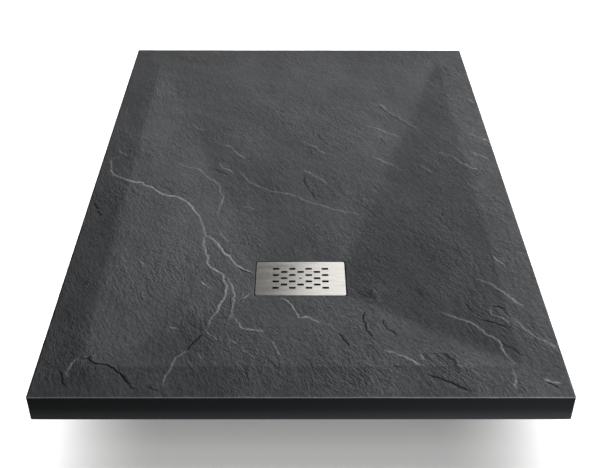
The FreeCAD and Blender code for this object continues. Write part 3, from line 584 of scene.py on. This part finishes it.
def gel_coat(material):
    """The deck, its rolled edge, its sides and its recess, closed by a second skin just inside."""
    rng = random.Random(7)
    pale, dark = Lines(SEAMS, SEAM_WIDEN, rng), Lines(CRACKS, CRACK_WIDEN, rng)
    bm = flat_sheet(pale, dark)
    layers = raise_sheet(bm, pale, dark)
    recess, outer = [], []
    for edge in bm.edges:
        if edge.is_boundary:
            near_recess = recess_distance(*edge.verts[0].co.xy) < ON_OUTLINE
            (recess if near_recess else outer).append(edge)

    def out_of_tray(point):
        return outward(point, *DECK_OUTLINE)

    def into_recess(point):
        return -outward(point, *RECESS_OUTLINE)

    def to_rim_line(vert):
        vert.co.x *= (HALF_WIDTH - RIM) / (HALF_WIDTH - INNER)
        vert.co.y *= (HALF_LENGTH - RIM) / (HALF_LENGTH - INNER)

    def to_recess_border(vert):
        vert.co.x *= (RECESS_HALF_X + RECESS_BORDER) / (HALF_WIDTH - RIM)
        vert.co.y = DRAIN.y + vert.co.y * (RECESS_HALF_Y + RECESS_BORDER) / (HALF_LENGTH - RIM)
        vert.co.z -= FALL

    def to_waste_hole(level):
        def place(vert):
            spoke = (vert[layers["home"]] - DRAIN).xy.normalized() * WASTE_HOLE
            vert.co = (DRAIN.x + spoke.x, DRAIN.y + spoke.y, level)
        return place

    outer = roll(bm, outer, layers, out_of_tray, EDGE_ROUND, highlight=EDGE_HIGHLIGHT)
    for inset, level in ((0, UNDERSIDE), (INNER, UNDERSIDE), (INNER, RIM_TOP - INNER)):
        outer = wall(bm, outer, layers, out_of_tray, EDGE_ROUND - inset, level)
    outer = rings(bm, outer, to_rim_line)
    outer = rings(bm, outer, to_recess_border)
    recess = roll(bm, recess, layers, into_recess, LIP_ROUND)
    recess = wall(bm, recess, layers, into_recess, LIP_ROUND, RECESS_FLOOR)
    for level in (RECESS_FLOOR, RECESS_FLOOR - INNER):
        recess = rings(bm, recess, to_waste_hole(level))
    for level in (RECESS_FLOOR - INNER, RIM_TOP - FALL - INNER):
        recess = wall(bm, recess, layers, into_recess, LIP_ROUND - INNER, level)
    bmesh.ops.bridge_loops(bm, edges=outer + recess)
    return make_piece(bm, "slate_gel_coat", "tray", ["gel_coat"], material)


# --- materials ---


def hex_colour(code):
    """The linear colour of an sRGB hex code."""
    channels = [int(code[n:n + 2], 16) / 255 for n in (1, 3, 5)]
    linear = [c / 12.92 if c <= 0.04045 else ((c + 0.055) / 1.055) ** 2.4 for c in channels]
    return (*linear, 1)


def grey(level):
    """A grey of a linear level."""
    return (level, level, level, 1)


def spaced(name):
    """The name of a socket, written with underscores for its spaces."""
    return name.replace("_", " ")


def add(tree, kind, links=None, **settings):
    """Add a shader node; links maps its sockets to other sockets, settings are properties of the
    node and, where the name isn't a property, values of its sockets."""
    node = tree.nodes.new("ShaderNode" + kind)
    for name, value in settings.items():
        if hasattr(node, name):
            setattr(node, name, value)
        else:
            node.inputs[spaced(name)].default_value = value
    for socket, source in (links or {}).items():
        if hasattr(source, "links"):
            tree.links.new(source, node.inputs[socket])
        else:
            node.inputs[socket].default_value = source
    return node


def new_material(name, **shader):
    """A material and its node tree; shader values go on the sockets of its Principled shader."""
    material = bpy.data.materials.new(name)
    material.use_nodes = True
    sockets = material.node_tree.nodes["Principled BSDF"].inputs
    for socket, value in shader.items():
        sockets[spaced(socket)].default_value = value
    return material, material.node_tree


def feed(tree, **sources):
    """Link outputs to the sockets of the Principled shader."""
    sockets = tree.nodes["Principled BSDF"].inputs
    for socket, source in sources.items():
        tree.links.new(source, sockets[spaced(socket)])


def stretched(tree, direction_degrees=0, stretch=1):
    """Object coordinates turned so that their X runs in a direction, and drawn out along it."""
    place = add(tree, "TexCoord").outputs["Object"]
    turned = add(tree, "Mapping", {"Vector": place}, vector_type="POINT")
    turned.inputs["Rotation"].default_value = (0, 0, math.radians(-direction_degrees))
    drawn = add(tree, "Mapping", {"Vector": turned.outputs[0]}, vector_type="POINT")
    drawn.inputs["Scale"].default_value = (1 / stretch, 1, 1)
    return drawn.outputs[0]


def pattern(tree, place, size, detail=3.0, roughness=0.55):
    """Noise whose features are about that many millimetres across."""
    node = add(tree, "TexNoise", {"Vector": place}, Scale=0.5 / mm(size), Detail=detail)
    node.inputs["Roughness"].default_value = roughness
    return node.outputs["Fac"]


def ramp(tree, value, *stops):
    """A colour ramp from pairs of position and hex colour or grey level."""
    node = add(tree, "ValToRGB", {"Fac": value})
    elements = node.color_ramp.elements
    while len(elements) < len(stops):
        elements.new(1)
    for element, (position, colour) in zip(elements, stops):
        element.position = position
        element.color = hex_colour(colour) if isinstance(colour, str) else grey(colour)
    return node.outputs["Color"]


def mix(tree, factor, first, second, mode="MIX"):
    """Two colours mixed by a factor; a colour may be a hex code."""
    first, second = (hex_colour(c) if isinstance(c, str) else c for c in (first, second))
    links = {0: factor, 6: first, 7: second}
    return add(tree, "Mix", links, data_type="RGBA", blend_type=mode).outputs[2]


def tinted(tree, colour, level):
    """A colour multiplied by a level."""
    return mix(tree, 1.0, colour, level, "MULTIPLY")


def math_node(tree, operation, first, second=0.0, third=0.0, clamp=False):
    """One step of arithmetic."""
    links = {0: first, 1: second, 2: third}
    return add(tree, "Math", links, operation=operation, use_clamp=clamp).outputs[0]


def times(tree, first, second, clamp=False):
    """Two values multiplied."""
    return math_node(tree, "MULTIPLY", first, second, clamp=clamp)


def bump(tree, height, distance, under=None):
    """A bump whose full height is a distance in millimetres, on top of another one."""
    links = {"Height": height}
    if under is not None:
        links["Normal"] = under
    return add(tree, "Bump", links, Distance=mm(distance), Strength=1.0).outputs[0]


def attribute(tree, name):
    """A number kept on the mesh's own vertices."""
    return add(tree, "Attribute", attribute_name=name).outputs["Fac"]


def rays(tree):
    """Whether a ray comes from the camera, and whether it comes from gloss or glass."""
    path = add(tree, "LightPath").outputs
    mirrored = math_node(tree, "MAXIMUM", path["Is Glossy Ray"], path["Is Transmission Ray"])
    return path["Is Camera Ray"], mirrored


SLATE_GLOSS = 0.14
SHADE_LINE, SHADE_BLUR = mm(3), mm(0.6)  # the dark line along the left edge
SHADE_FROM, SHADE_RISE = 37.8, 40  # it shows over 94.5 to 97 percent of the tray's height


def slate_coat():
    """Pigmented polyester gel coat cast against a riven slate mould: matte, grey-black, with fine
    stone grain along one diagonal, thin flakes, short creases, raised seams and cracks. Painted
    shade darkens the creases, the cracks and the flat rim, and a painted highlight makes the seams
    pale. The plain edges are without gloss and painted far darker than the deck as shade, darker
    still towards the top and on the right, and nearly black in the recess and along the left edge; a
    painted highlight lightens the rolled edge of the short sides. Grain, flakes and creases are
    drawn about twice their real size, so that they show."""
    material, tree = new_material("slate_gel_coat_polyester", Roughness=0.6, IOR=1.5,
                                  Specular_IOR_Level=SLATE_GLOSS)
    along = stretched(tree, GRAIN_DIRECTION, 1.8)
    plain = stretched(tree)
    clouds = pattern(tree, along, 60, 4)
    flakes = pattern(tree, along, 6, 4, 0.6)
    flecks = pattern(tree, along, 1.9, 3, 0.6)
    grit = pattern(tree, plain, 1.0, 2, 0.6)

    layers = times(tree, pattern(tree, along, 26, 4, 0.6), 9)
    lip = math_node(tree, "MULTIPLY_ADD", math_node(tree, "FRACT", layers), 4, -1.5, clamp=True)
    steps = math_node(tree, "ADD", math_node(tree, "FLOOR", layers), lip)

    wave = pattern(tree, stretched(tree, GRAIN_DIRECTION, 3.5), 10, 1.5)
    off_crease = math_node(tree, "ABSOLUTE", math_node(tree, "SUBTRACT", wave, 0.5))
    crease = math_node(tree, "MULTIPLY_ADD", off_crease, -32, 1, clamp=True)
    broken = ramp(tree, pattern(tree, plain, 26, 2), (0.5, 0.0), (0.6, 1.0))
    crease = times(tree, crease, broken)

    base = ramp(tree, clouds, (0.3, "#3d3e40"), (0.5, "#434446"), (0.72, "#494a4c"))
    base = tinted(tree, base, ramp(tree, flecks, (0.30, 0.78), (0.5, 1.0), (0.7, 1.25)))
    # painted shade: the flat rim is drawn 12 percent darker than the falls
    base = tinted(tree, base, ramp(tree, attribute(tree, "inside_rim"), (0.0, 0.88), (1.0, 1.0)))
    # painted shade in the creases
    base = mix(tree, times(tree, crease, 0.3), base, "#151516")
    # painted highlight: the raised seams and the rolled edge of the short sides are drawn pale
    highlight = math_node(tree, "ADD", flecks, 0.45)
    seam = times(tree, attribute(tree, "pale_line"), highlight, clamp=True)
    base = mix(tree, seam, base, "#a0a1a3")
    # painted shade in the cracks
    crack = times(tree, attribute(tree, "dark_line"), 1.7, clamp=True)
    base = mix(tree, crack, base, "#0c0c0d")

    edge = attribute(tree, "plain_edge")
    place = add(tree, "TexCoord").outputs["Object"]
    across, _, up = add(tree, "SeparateXYZ", {0: place}).outputs
    up = math_node(tree, "DIVIDE", math_node(tree, "SUBTRACT", up, UNDERSIDE), RIM_TOP - UNDERSIDE)
    # painted shade: the plain sides are drawn far darker than the deck, darker towards the top than
    # at the bottom
    side = ramp(tree, up, (0.0, "#303132"), (0.5, "#1c1d1e"), (0.9, "#1a1b1b"))
    # painted shade on the right side, which the raking lamp lights
    side = mix(tree, attribute(tree, "right_side"), side, "#0e0e0f")
    base = mix(tree, edge, base, side)
    # painted shade: near black along the left edge at the top and in the recess
    past_line = math_node(tree, "ADD", across, HALF_WIDTH - SHADE_LINE)
    shaded = math_node(tree, "DIVIDE", past_line, -SHADE_BLUR, clamp=True)
    top = math_node(tree, "MULTIPLY_ADD", up, SHADE_RISE, -SHADE_FROM, clamp=True)
    shaded = math_node(tree, "MAXIMUM", times(tree, shaded, top), attribute(tree, "in_recess"))
    base = mix(tree, shaded, base, "#070707")

    patches = ramp(tree, pattern(tree, plain, 75, 2), (0.4, 0.7), (0.62, 1.5))
    patches = math_node(tree, "ADD", patches, attribute(tree, "rough_patch"))
    keep = times(tree, patches, math_node(tree, "SUBTRACT", 1.0, edge, clamp=True))
    normal = None
    for form, depth in ((steps, 0.07), (flakes, 0.7), (crease, -0.13), (flecks, 0.5), (grit, 0.22)):
        normal = bump(tree, times(tree, form, keep), depth, normal)
    feed(tree, Base_Color=base, Normal=normal,
         Roughness=ramp(tree, grit, (0.3, 0.5), (0.7, 0.66)),
         Specular_IOR_Level=math_node(tree, "MULTIPLY_ADD", edge, -SLATE_GLOSS, SLATE_GLOSS))
    return material


def brushed_steel():
    """Austenitic stainless sheet brushed along the grate: fine lines 0.3 mm apart, drawn a little
    coarser so that they show. The laser-cut walls of the slots are painted near black as shade,
    which sets them off against the bright sheet."""
    material, tree = new_material("brushed_stainless_sheet", Metallic=1.0, Roughness=0.2)
    lines = pattern(tree, stretched(tree, 0, 60), 0.5, 3)
    smears = pattern(tree, stretched(tree, 0, 14), 5, 3)
    cut = attribute(tree, "laser_cut")
    tint = ramp(tree, lines, (0.3, "#c4c1bc"), (0.7, "#dddad5"))
    rough = ramp(tree, smears, (0.3, 0.17), (0.7, 0.22))
    # painted shade: the laser-cut walls of the slots are drawn near black
    feed(tree, Base_Color=mix(tree, cut, tint, "#121211"),
         Roughness=math_node(tree, "MAXIMUM", rough, times(tree, cut, 0.6)),
         Normal=bump(tree, lines, 0.004))
    return material


def moulded(name, low, high, roughness, grit=0.8, depth=0.03):
    """Injection-moulded polymer: an even colour with faint flow marks and a fine spark texture,
    whose grit and depth are in millimetres."""
    material, tree = new_material(name, Roughness=roughness, IOR=1.49)
    place = stretched(tree)
    marks = pattern(tree, place, 26, 3)
    fine = pattern(tree, place, grit, 2)
    feed(tree, Base_Color=ramp(tree, marks, (0.35, low), (0.65, high)),
         Roughness=ramp(tree, fine, (0.3, roughness - 0.05), (0.7, roughness + 0.07)),
         Normal=bump(tree, fine, depth))
    return material


def cast_resin():
    """Filled polyester resin, ground flat underneath: pale grey-brown with pits and aggregate."""
    material, tree = new_material("filled_polyester_resin", Roughness=0.82, IOR=1.54)
    place = stretched(tree)
    clouds = ramp(tree, pattern(tree, place, 60, 4), (0.35, "#8a8781"), (0.65, "#9d9a93"))
    specks = ramp(tree, pattern(tree, place, 2.2, 3), (0.36, 0.55), (0.5, 1.0), (0.66, 1.12))
    swirls = pattern(tree, stretched(tree, 20, 9), 1.4, 3)
    feed(tree, Base_Color=tinted(tree, clouds, specks), Normal=bump(tree, swirls, 0.12))
    return material


def turned_metal(name, low, high, roughness):
    """Machined metal with fine tool marks."""
    material, tree = new_material(name, Metallic=1.0, Roughness=roughness)
    marks = pattern(tree, stretched(tree), 0.6, 3)
    feed(tree, Base_Color=ramp(tree, marks, (0.3, low), (0.7, high)),
         Roughness=ramp(tree, marks, (0.3, roughness - 0.06), (0.7, roughness + 0.08)))
    return material


# --- the grate ---

SLOT_LINES = 7  # as many columns of slots as rows
MIDDLE_ROW = (1, 5)  # the columns that have a slot in the row of the screw
SLOT_PITCH = (mm(14.2), mm(8.8))
# The slots are drawn 0.6 mm longer and wider than in the CAD, so that they read as dark.
SLOT_HALF = (mm(11.2) / 2, mm(5.3) / 2)
SLOT_CORNER = mm(1)
GRATE_CORNER = mm(3)
GRATE_EASE = mm(0.1)
SINK_TOP, SINK_BOTTOM = mm(5.05), mm(2.6)  # radii of the countersink
SINK_SQUARE = mm(6.2)  # half the square round the countersink
SINK_ANGLES = range(0, 46, 9)  # where the square is cut, in degrees from the middle of a side
TO_CORNER = 1.42  # from the middle of a square to its corner, with a little to spare
HAIR = mm(0.01)  # how far a vertex may be off the place where it is looked for
NEAR_SLOT = mm(0.05)  # a vertex this near a slot belongs to it
OUTER_WALL = mm(1)  # what is further in than this isn't the outer wall of the sheet


def slot_line(axis, n):
    """Where a column of slots lies across the tray, or a row of them along it."""
    return DRAIN[axis] + (n - (SLOT_LINES - 1) / 2) * SLOT_PITCH[axis]


def slot_centres():
    """Staggered slots; the middle row leaves room for the screw."""
    centres = []
    for row in range(SLOT_LINES):
        for column in range(SLOT_LINES):
            if row == SLOT_LINES // 2:
                filled = column in MIDDLE_ROW
            else:
                filled = (row + column) % 2 == 0
            if filled:
                centres.append(Vector((slot_line(0, column), slot_line(1, row), 0)))
    return centres


def grate(material):
    """The perforated sheet: cut up flat, its slots opened, raised to its thickness and eased."""
    half_x, half_y = (GRATE_HIGH.x - GRATE_LOW.x) / 2, (GRATE_HIGH.y - GRATE_LOW.y) / 2
    bm = grid(half_x, half_y, (1, 1), (DRAIN.x, DRAIN.y, GRATE_LOW.z))
    for axis, half in ((0, half_x), (1, half_y)):
        cut_corners(bm, axis, half, DRAIN[axis], GRATE_CORNER)
    for axis in (0, 1):
        for n in range(SLOT_LINES):
            cut_corners(bm, axis, SLOT_HALF[axis], slot_line(axis, n), SLOT_CORNER)
    spokes = [side * SINK_SQUARE * math.tan(math.radians(angle))
              for side in (-1, 1) for angle in SINK_ANGLES]
    for axis in (0, 1):
        cut_lines(bm, axis, [DRAIN[axis] + spoke for spoke in spokes])
    centres = slot_centres()
    open_faces = []
    for face in bm.faces:
        middle = face.calc_center_median()
        in_slot = any(within(middle, centre, *SLOT_HALF) for centre in centres)
        if in_slot or within(middle, DRAIN, SINK_SQUARE, SINK_SQUARE):
            open_faces.append(face)
    bmesh.ops.delete(bm, geom=open_faces, context="FACES")
    for vert in [vert for vert in bm.verts if vert.is_boundary]:
        round_corner(vert.co, half_x, half_y, DRAIN, GRATE_CORNER)
        for centre in centres:
            if within(vert.co, centre, *(half + NEAR_SLOT for half in SLOT_HALF)):
                round_corner(vert.co, *SLOT_HALF, centre, SLOT_CORNER)

    def from_screw(vert):
        return (vert.co - DRAIN).xy

    def onto_circle(radius):
        def place(vert):
            vert.co.xy = DRAIN.xy + from_screw(vert).normalized() * radius
        return place

    square = [edge for edge in bm.edges if edge.is_boundary
              and all(from_screw(vert).length < TO_CORNER * SINK_SQUARE for vert in edge.verts)]
    rings(bm, square, onto_circle(SINK_TOP))
    bmesh.ops.recalc_face_normals(bm, faces=bm.faces)
    made = bmesh.ops.extrude_face_region(bm, geom=bm.faces[:])["geom"]
    lifted = [item for item in made if isinstance(item, bmesh.types.BMVert)]
    bmesh.ops.translate(bm, vec=(0, 0, GRATE_HIGH.z - GRATE_LOW.z), verts=lifted)
    for vert in bm.verts:
        if from_screw(vert).length < SINK_TOP + HAIR and vert.co.z < GRATE_LOW.z + HAIR:
            onto_circle(SINK_BOTTOM)(vert)
    bmesh.ops.recalc_face_normals(bm, faces=bm.faces)
    rim = [edge for edge in sharp_edges(bm, 60)
           if all(vert.co.z > GRATE_HIGH.z - HAIR for vert in edge.verts)]
    ease_edges(bm, rim, GRATE_EASE)
    laser_cut = bm.verts.layers.float.new("laser_cut")
    for vert in bm.verts:
        inner = within(vert.co, DRAIN, half_x - OUTER_WALL, half_y - OUTER_WALL)
        vert[laser_cut] = float(inner and vert.co.z < GRATE_HIGH.z - GRATE_EASE / 2)
    return make_piece(bm, "grate_sheet", "grate", ["grate_plate"], material,
                      flat_over=4 * GRATE_EASE ** 2)


# --- moulded and turned pieces ---

TURN_STEPS = 48
WELD = mm(0.005)  # vertices this near each other become one
SAME_PLANE = 0.5  # degrees between faces that are taken as one
SPINDLE = mm(32) / 2
THREAD_PITCH = mm(4)
THREAD_DEPTH = mm(1.7)
THREAD_START = mm(2)  # how far below the top of the foot's cone
THREAD_FORM = ((1, 0), (1, 0.3), (0, 0.55), (0, 0.75))  # depth and height within a turn, as shares
DISC_EASE, DISC_WALL, DISC_SHOULDER = mm(0.6), mm(3), mm(4)
CONE_TOP = mm(15)
CONE = ((27, 8), (24, 8.6), (20, 11), (17.4, 14.2), (16.2, 15))  # radius and height in millimetres


def eased(node, body, material, ease, sharp=28):
    """A finer stand-in for a CAD node: the same form with its sharp edges eased."""
    bm = bmesh.new()
    bm.from_mesh(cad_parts[node].data)
    bm.transform(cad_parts[node].matrix_world)
    bmesh.ops.remove_doubles(bm, verts=bm.verts, dist=HAIR)
    bmesh.ops.dissolve_limit(bm, angle_limit=math.radians(SAME_PLANE), verts=bm.verts,
                             edges=bm.edges)
    ease_edges(bm, sharp_edges(bm, sharp), ease, clamp_overlap=True)
    return make_piece(bm, node + "_eased", body, [node], material, flat_over=30 * ease ** 2)


def turn(bm, outline, centre, rise=0):
    """Turn a list of radius and height, in metres, about a vertical axis, along a screw when it
    rises."""
    verts = [bm.verts.new((centre.x + radius, centre.y, height)) for radius, height in outline]
    edges = [bm.edges.new(pair) for pair in zip(verts, verts[1:])]
    bmesh.ops.spin(bm, geom=verts + edges, cent=(centre.x, centre.y, 0), axis=(0, 0, 1),
                   dvec=(0, 0, rise / TURN_STEPS), angle=math.radians(360), steps=TURN_STEPS,
                   use_merge=rise == 0, use_duplicate=False)
    bmesh.ops.remove_doubles(bm, verts=bm.verts, dist=WELD)
    bmesh.ops.holes_fill(bm, edges=[edge for edge in bm.edges if edge.is_boundary])


def arc(radius, height, ease, angles):
    """Points of an arc round a point of an outline; angles go up from level."""
    return [(radius + ease * math.cos(angle), height + ease * math.sin(angle))
            for angle in map(math.radians, angles)]


def spindle_and_foot(leg, material):
    """The foot moulded in one with its threaded spindle."""
    low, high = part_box(f"foot_{leg}")
    centre = (low + high) / 2
    disc = (high.x - low.x) / 2
    cone_top = low.z + CONE_TOP
    first = cone_top - THREAD_START
    turns = int((high.z - cone_top) / THREAD_PITCH)
    thread = [(SPINDLE - deep * THREAD_DEPTH, first + (n + share) * THREAD_PITCH)
              for n in range(turns) for deep, share in THREAD_FORM]
    thread.append((SPINDLE - THREAD_DEPTH, first + turns * THREAD_PITCH))
    foot = [(0, low.z), (disc - DISC_EASE, low.z)]
    foot += arc(disc - DISC_EASE, low.z + DISC_EASE, DISC_EASE, (-60, -30, 0))
    foot.append((disc, low.z + DISC_WALL))
    foot += arc(disc - DISC_SHOULDER, low.z + DISC_SHOULDER, DISC_SHOULDER, (0, 22, 45, 68, 90))
    foot += [(mm(radius), low.z + mm(height)) for radius, height in CONE]
    foot.append((0, cone_top))
    for form, outline, rise in (("thread", thread, THREAD_PITCH), ("disc", foot, 0)):
        bm = bmesh.new()
        turn(bm, outline, centre, rise)
        make_piece(bm, f"foot_{form}_{leg}", f"foot_{leg}", [f"foot_{leg}"],
                   material, sharp=30)


# --- dress the CAD nodes ---

LEGS = [name.removeprefix("foot_sole_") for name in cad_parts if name.startswith("foot_sole_")]


def dress(material, *names):
    """Give CAD nodes a material; a name ending in _ stands for all nodes that start with it."""
    for name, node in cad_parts.items():
        if name in names or any(start.endswith("_") and name.startswith(start) for start in names):
            node.data.materials.clear()
            node.data.materials.append(material)


def dress_all():
    """Dress everything but the deck and the grate, eased where its edges show."""
    rubber = moulded("nitrile_rubber", "#1a1a1b", "#222223", 0.75, 1.2, 0.05)
    dress(cast_resin(), "resin_slab")
    waste = moulded("abs_waste_body", "#2c2d2f", "#353638", 0.38)
    trap = moulded("polypropylene_trap", "#c9c8c4", "#d6d5d1", 0.42)
    nut = moulded("polypropylene_nut", "#2a2b2d", "#34353a", 0.45)
    insert = moulded("polypropylene_insert", "#3a3c3f", "#46484c", 0.42)
    dress(rubber, "flange_seal", "lower_seal", "cup_seal", "ball_seal", "insert_ring", "grate_pads",
          "foot_sole_")
    eased("waste_flange", "tray", waste, mm(0.35))
    eased("trap_head", "tray", trap, mm(0.5))
    eased("trap_cup", "tray", trap, mm(0.6))
    eased("outlet_spigot", "outlet", trap, mm(0.4))
    eased("outlet_nut", "outlet_nut", nut, mm(0.5))
    eased("siphon_insert", "siphon", insert, mm(0.35))
    head = moulded("glass_filled_nylon", "#1c1d1f", "#26272a", 0.55, 0.9, 0.05)
    foot = moulded("glass_filled_nylon_foot", "#1c1d1f", "#26272a", 0.5, 0.9, 0.05)
    ring = moulded("lock_ring_nylon", "#5d6064", "#6b6e72", 0.5, 0.9, 0.05)
    for leg in LEGS:
        eased(f"leg_head_{leg}", "tray", head, mm(0.5))
        eased(f"lock_ring_{leg}", f"ring_{leg}", ring, mm(0.5))
        spindle_and_foot(leg, foot)
    dress(moulded("cured_sealant", "#6f7072", "#7f8082", 0.6, 3.0, 0.2), "adhesive_pads")
    dress(turned_metal("turned_brass", "#b58e4a", "#cda75e", 0.3), "insert_nut")
    dress(turned_metal("stainless_screw", "#c4c1bc", "#dddad5", 0.2), "grate_screw")


# --- floor and light ---

SWEEP_HALF = 30  # half the side of the sweep
SHADOW_LIFT = 0.22  # how bright the floor stays in the deepest shadow
LIT_NEAR, LIT_FAR = 1.7, 3.2  # the sweep brightens from here to here, where it is white by itself
ROOM = 0.1  # how bright the unlit room is
CEILING = 0.6  # how bright the ceiling is right above, for what mirrors it
SIDE_LAMPS = 0.09  # the height of the lamps for the sides, below the deck that they don't light
RAKE_ROUND, RAKE_UP = -12, 5.3  # degrees from the right and above the deck
RAKE_AWAY = 2.2
UNMIRRORED = ("rake", "edge")  # lamps that would clip to white where gloss mirrors them


def floor():
    """A white sweep. The camera sees it nearly white, and white away from the tray; gloss and
    glass see it half as bright, and its soft bounce is held down further, as by dark flags."""
    bm = grid(SWEEP_HALF, SWEEP_HALF, (1, 1))
    mesh = bpy.data.meshes.new("floor")
    bm.to_mesh(mesh)
    bm.free()
    material, tree = new_material("white_sweep", Roughness=1.0, Specular_IOR_Level=0,
                                  Emission_Color=grey(1))
    seen, mirrored = rays(tree)
    colour = mix(tree, mirrored, "#a8a8a8", grey(0.5))
    colour = mix(tree, seen, colour, grey(0.98))
    spot = add(tree, "TexCoord").outputs["Object"]
    distance = add(tree, "VectorMath", {0: spot}, operation="LENGTH").outputs["Value"]
    reach = math_node(tree, "DIVIDE", distance, LIT_FAR)
    lift = ramp(tree, reach, (LIT_NEAR / LIT_FAR, SHADOW_LIFT), (1.0, 1.0))
    feed(tree, Base_Color=colour, Emission_Strength=times(tree, seen, lift))
    mesh.materials.append(material)
    sweep = show("floor", mesh)
    return sweep


def room():
    """White all round for the camera. What mirrors it sees white walls low down, a dark room over
    them and a pale ceiling; it lights the rest evenly and weakly."""
    world = bpy.data.worlds.new("room")
    bpy.context.scene.world = world
    world.use_nodes = True
    tree = world.node_tree
    way = add(tree, "TexCoord").outputs["Generated"]
    height = add(tree, "SeparateXYZ", {0: way}).outputs["Z"]
    wall = ramp(tree, height, (0.0, 1.0), (0.14, 0.9), (0.32, ROOM), (0.8, ROOM), (0.95, CEILING))
    seen, mirrored = rays(tree)
    colour = mix(tree, mirrored, grey(ROOM), wall)
    colour = mix(tree, seen, colour, grey(1))
    tree.links.new(colour, tree.nodes["Background"].inputs["Color"])


def softbox(name, place, target, width, height, power):
    """A rectangular lamp that faces a target."""
    data = bpy.data.lights.new(name, "AREA")
    data.shape = "RECTANGLE"
    data.size = width
    data.size_y = height
    data.energy = power
    lamp = show(name, data)
    lamp.location = place
    lamp.rotation_euler = (Vector(target) - Vector(place)).to_track_quat("-Z", "Y").to_euler()
    lamp.visible_glossy = name not in UNMIRRORED
    return lamp


def studio(sweep, deck_pieces):
    """Three softboxes wash the floor. A low one on the right rakes the deck, two behind it and a
    dim one that shows in the steel lift its far end, one at the front right draws the front edge,
    two low ones light the left side and the back, and four light the legs, the trap and the
    underside. Each group has flags that keep it off the rest."""
    aim = Vector((0, -0.1, RIM_TOP))
    far_aim = Vector((0, 0.35, RIM_TOP))
    round_, up = math.radians(RAKE_ROUND), math.radians(RAKE_UP)
    low_right = Vector((math.cos(round_), math.sin(round_), math.tan(up)))
    behind = (0, 0.3, RIM_TOP)
    groups = (
        ("washed", "INCLUDE", [sweep], (
            ("wash_left", (-1.38, 0.2, 2.8), (-0.4, -0.1, 0), 2.1, 3.7, 116),
            ("wash_right", (1.38, 0.2, 2.8), (0.4, -0.1, 0), 2.1, 3.7, 123),
            ("wash_front", (0, -2.2, 2.6), (0, -0.5, 0), 2.6, 1.2, 15))),
        ("raked", "INCLUDE", deck_pieces, (
            ("rake", far_aim + low_right * RAKE_AWAY, far_aim, 0.8, 0.4, 322),
            ("back_right", (1.6, 2.4, 1.0), behind, 1.0, 0.5, 8.5),
            ("back_near", (-0.2, 1.7, 0.9), behind, 1.0, 0.4, 4.2),
            ("sheen", (0.85, 2.06, 2.0), aim, 1.7, 1.6, 11),
            ("edge", (1.3, -1.6, 0.42), (0.35, -0.6, 0.15), 0.5, 0.4, 37),
            ("side_left", (-2.4, 0.2, SIDE_LAMPS), (0, 0, SIDE_LAMPS), 2.0, 0.1, 15),
            ("side_back", (0.2, 2.7, SIDE_LAMPS), (0, 0, SIDE_LAMPS), 1.6, 0.1, 8))),
        ("kit", "EXCLUDE", [sweep] + deck_pieces, (
            ("kit_front", (-2.2, -2.0, 1.2), (0, 0, 0.1), 1.6, 1.2, 60),
            ("kit_back", (2.3, 1.9, 1.2), (0, 0, 0.1), 1.6, 1.2, 60),
            ("kit_low_right", (1.9, -2.2, 0.3), (0, -0.2, 0.07), 1.4, 0.4, 40),
            ("kit_low_left", (-2.4, 0.8, 0.3), (0, -0.1, 0.07), 1.4, 0.4, 40))),
    )
    for name, state, things, lamps in groups:
        group = bpy.data.collections.new(name)
        for thing in things:
            group.objects.link(thing)
        for entry in group.collection_objects:
            entry.light_linking.link_state = state
        for lamp in lamps:
            softbox(*lamp).light_linking.receiver_collection = group


# --- build ---

make_camera()
bpy.context.scene.view_settings.view_transform = "Standard"
room()
deck_pieces = [gel_coat(slate_coat()), grate(brushed_steel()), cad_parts["grate_screw"]]
dress_all()
studio(floor(), deck_pieces)
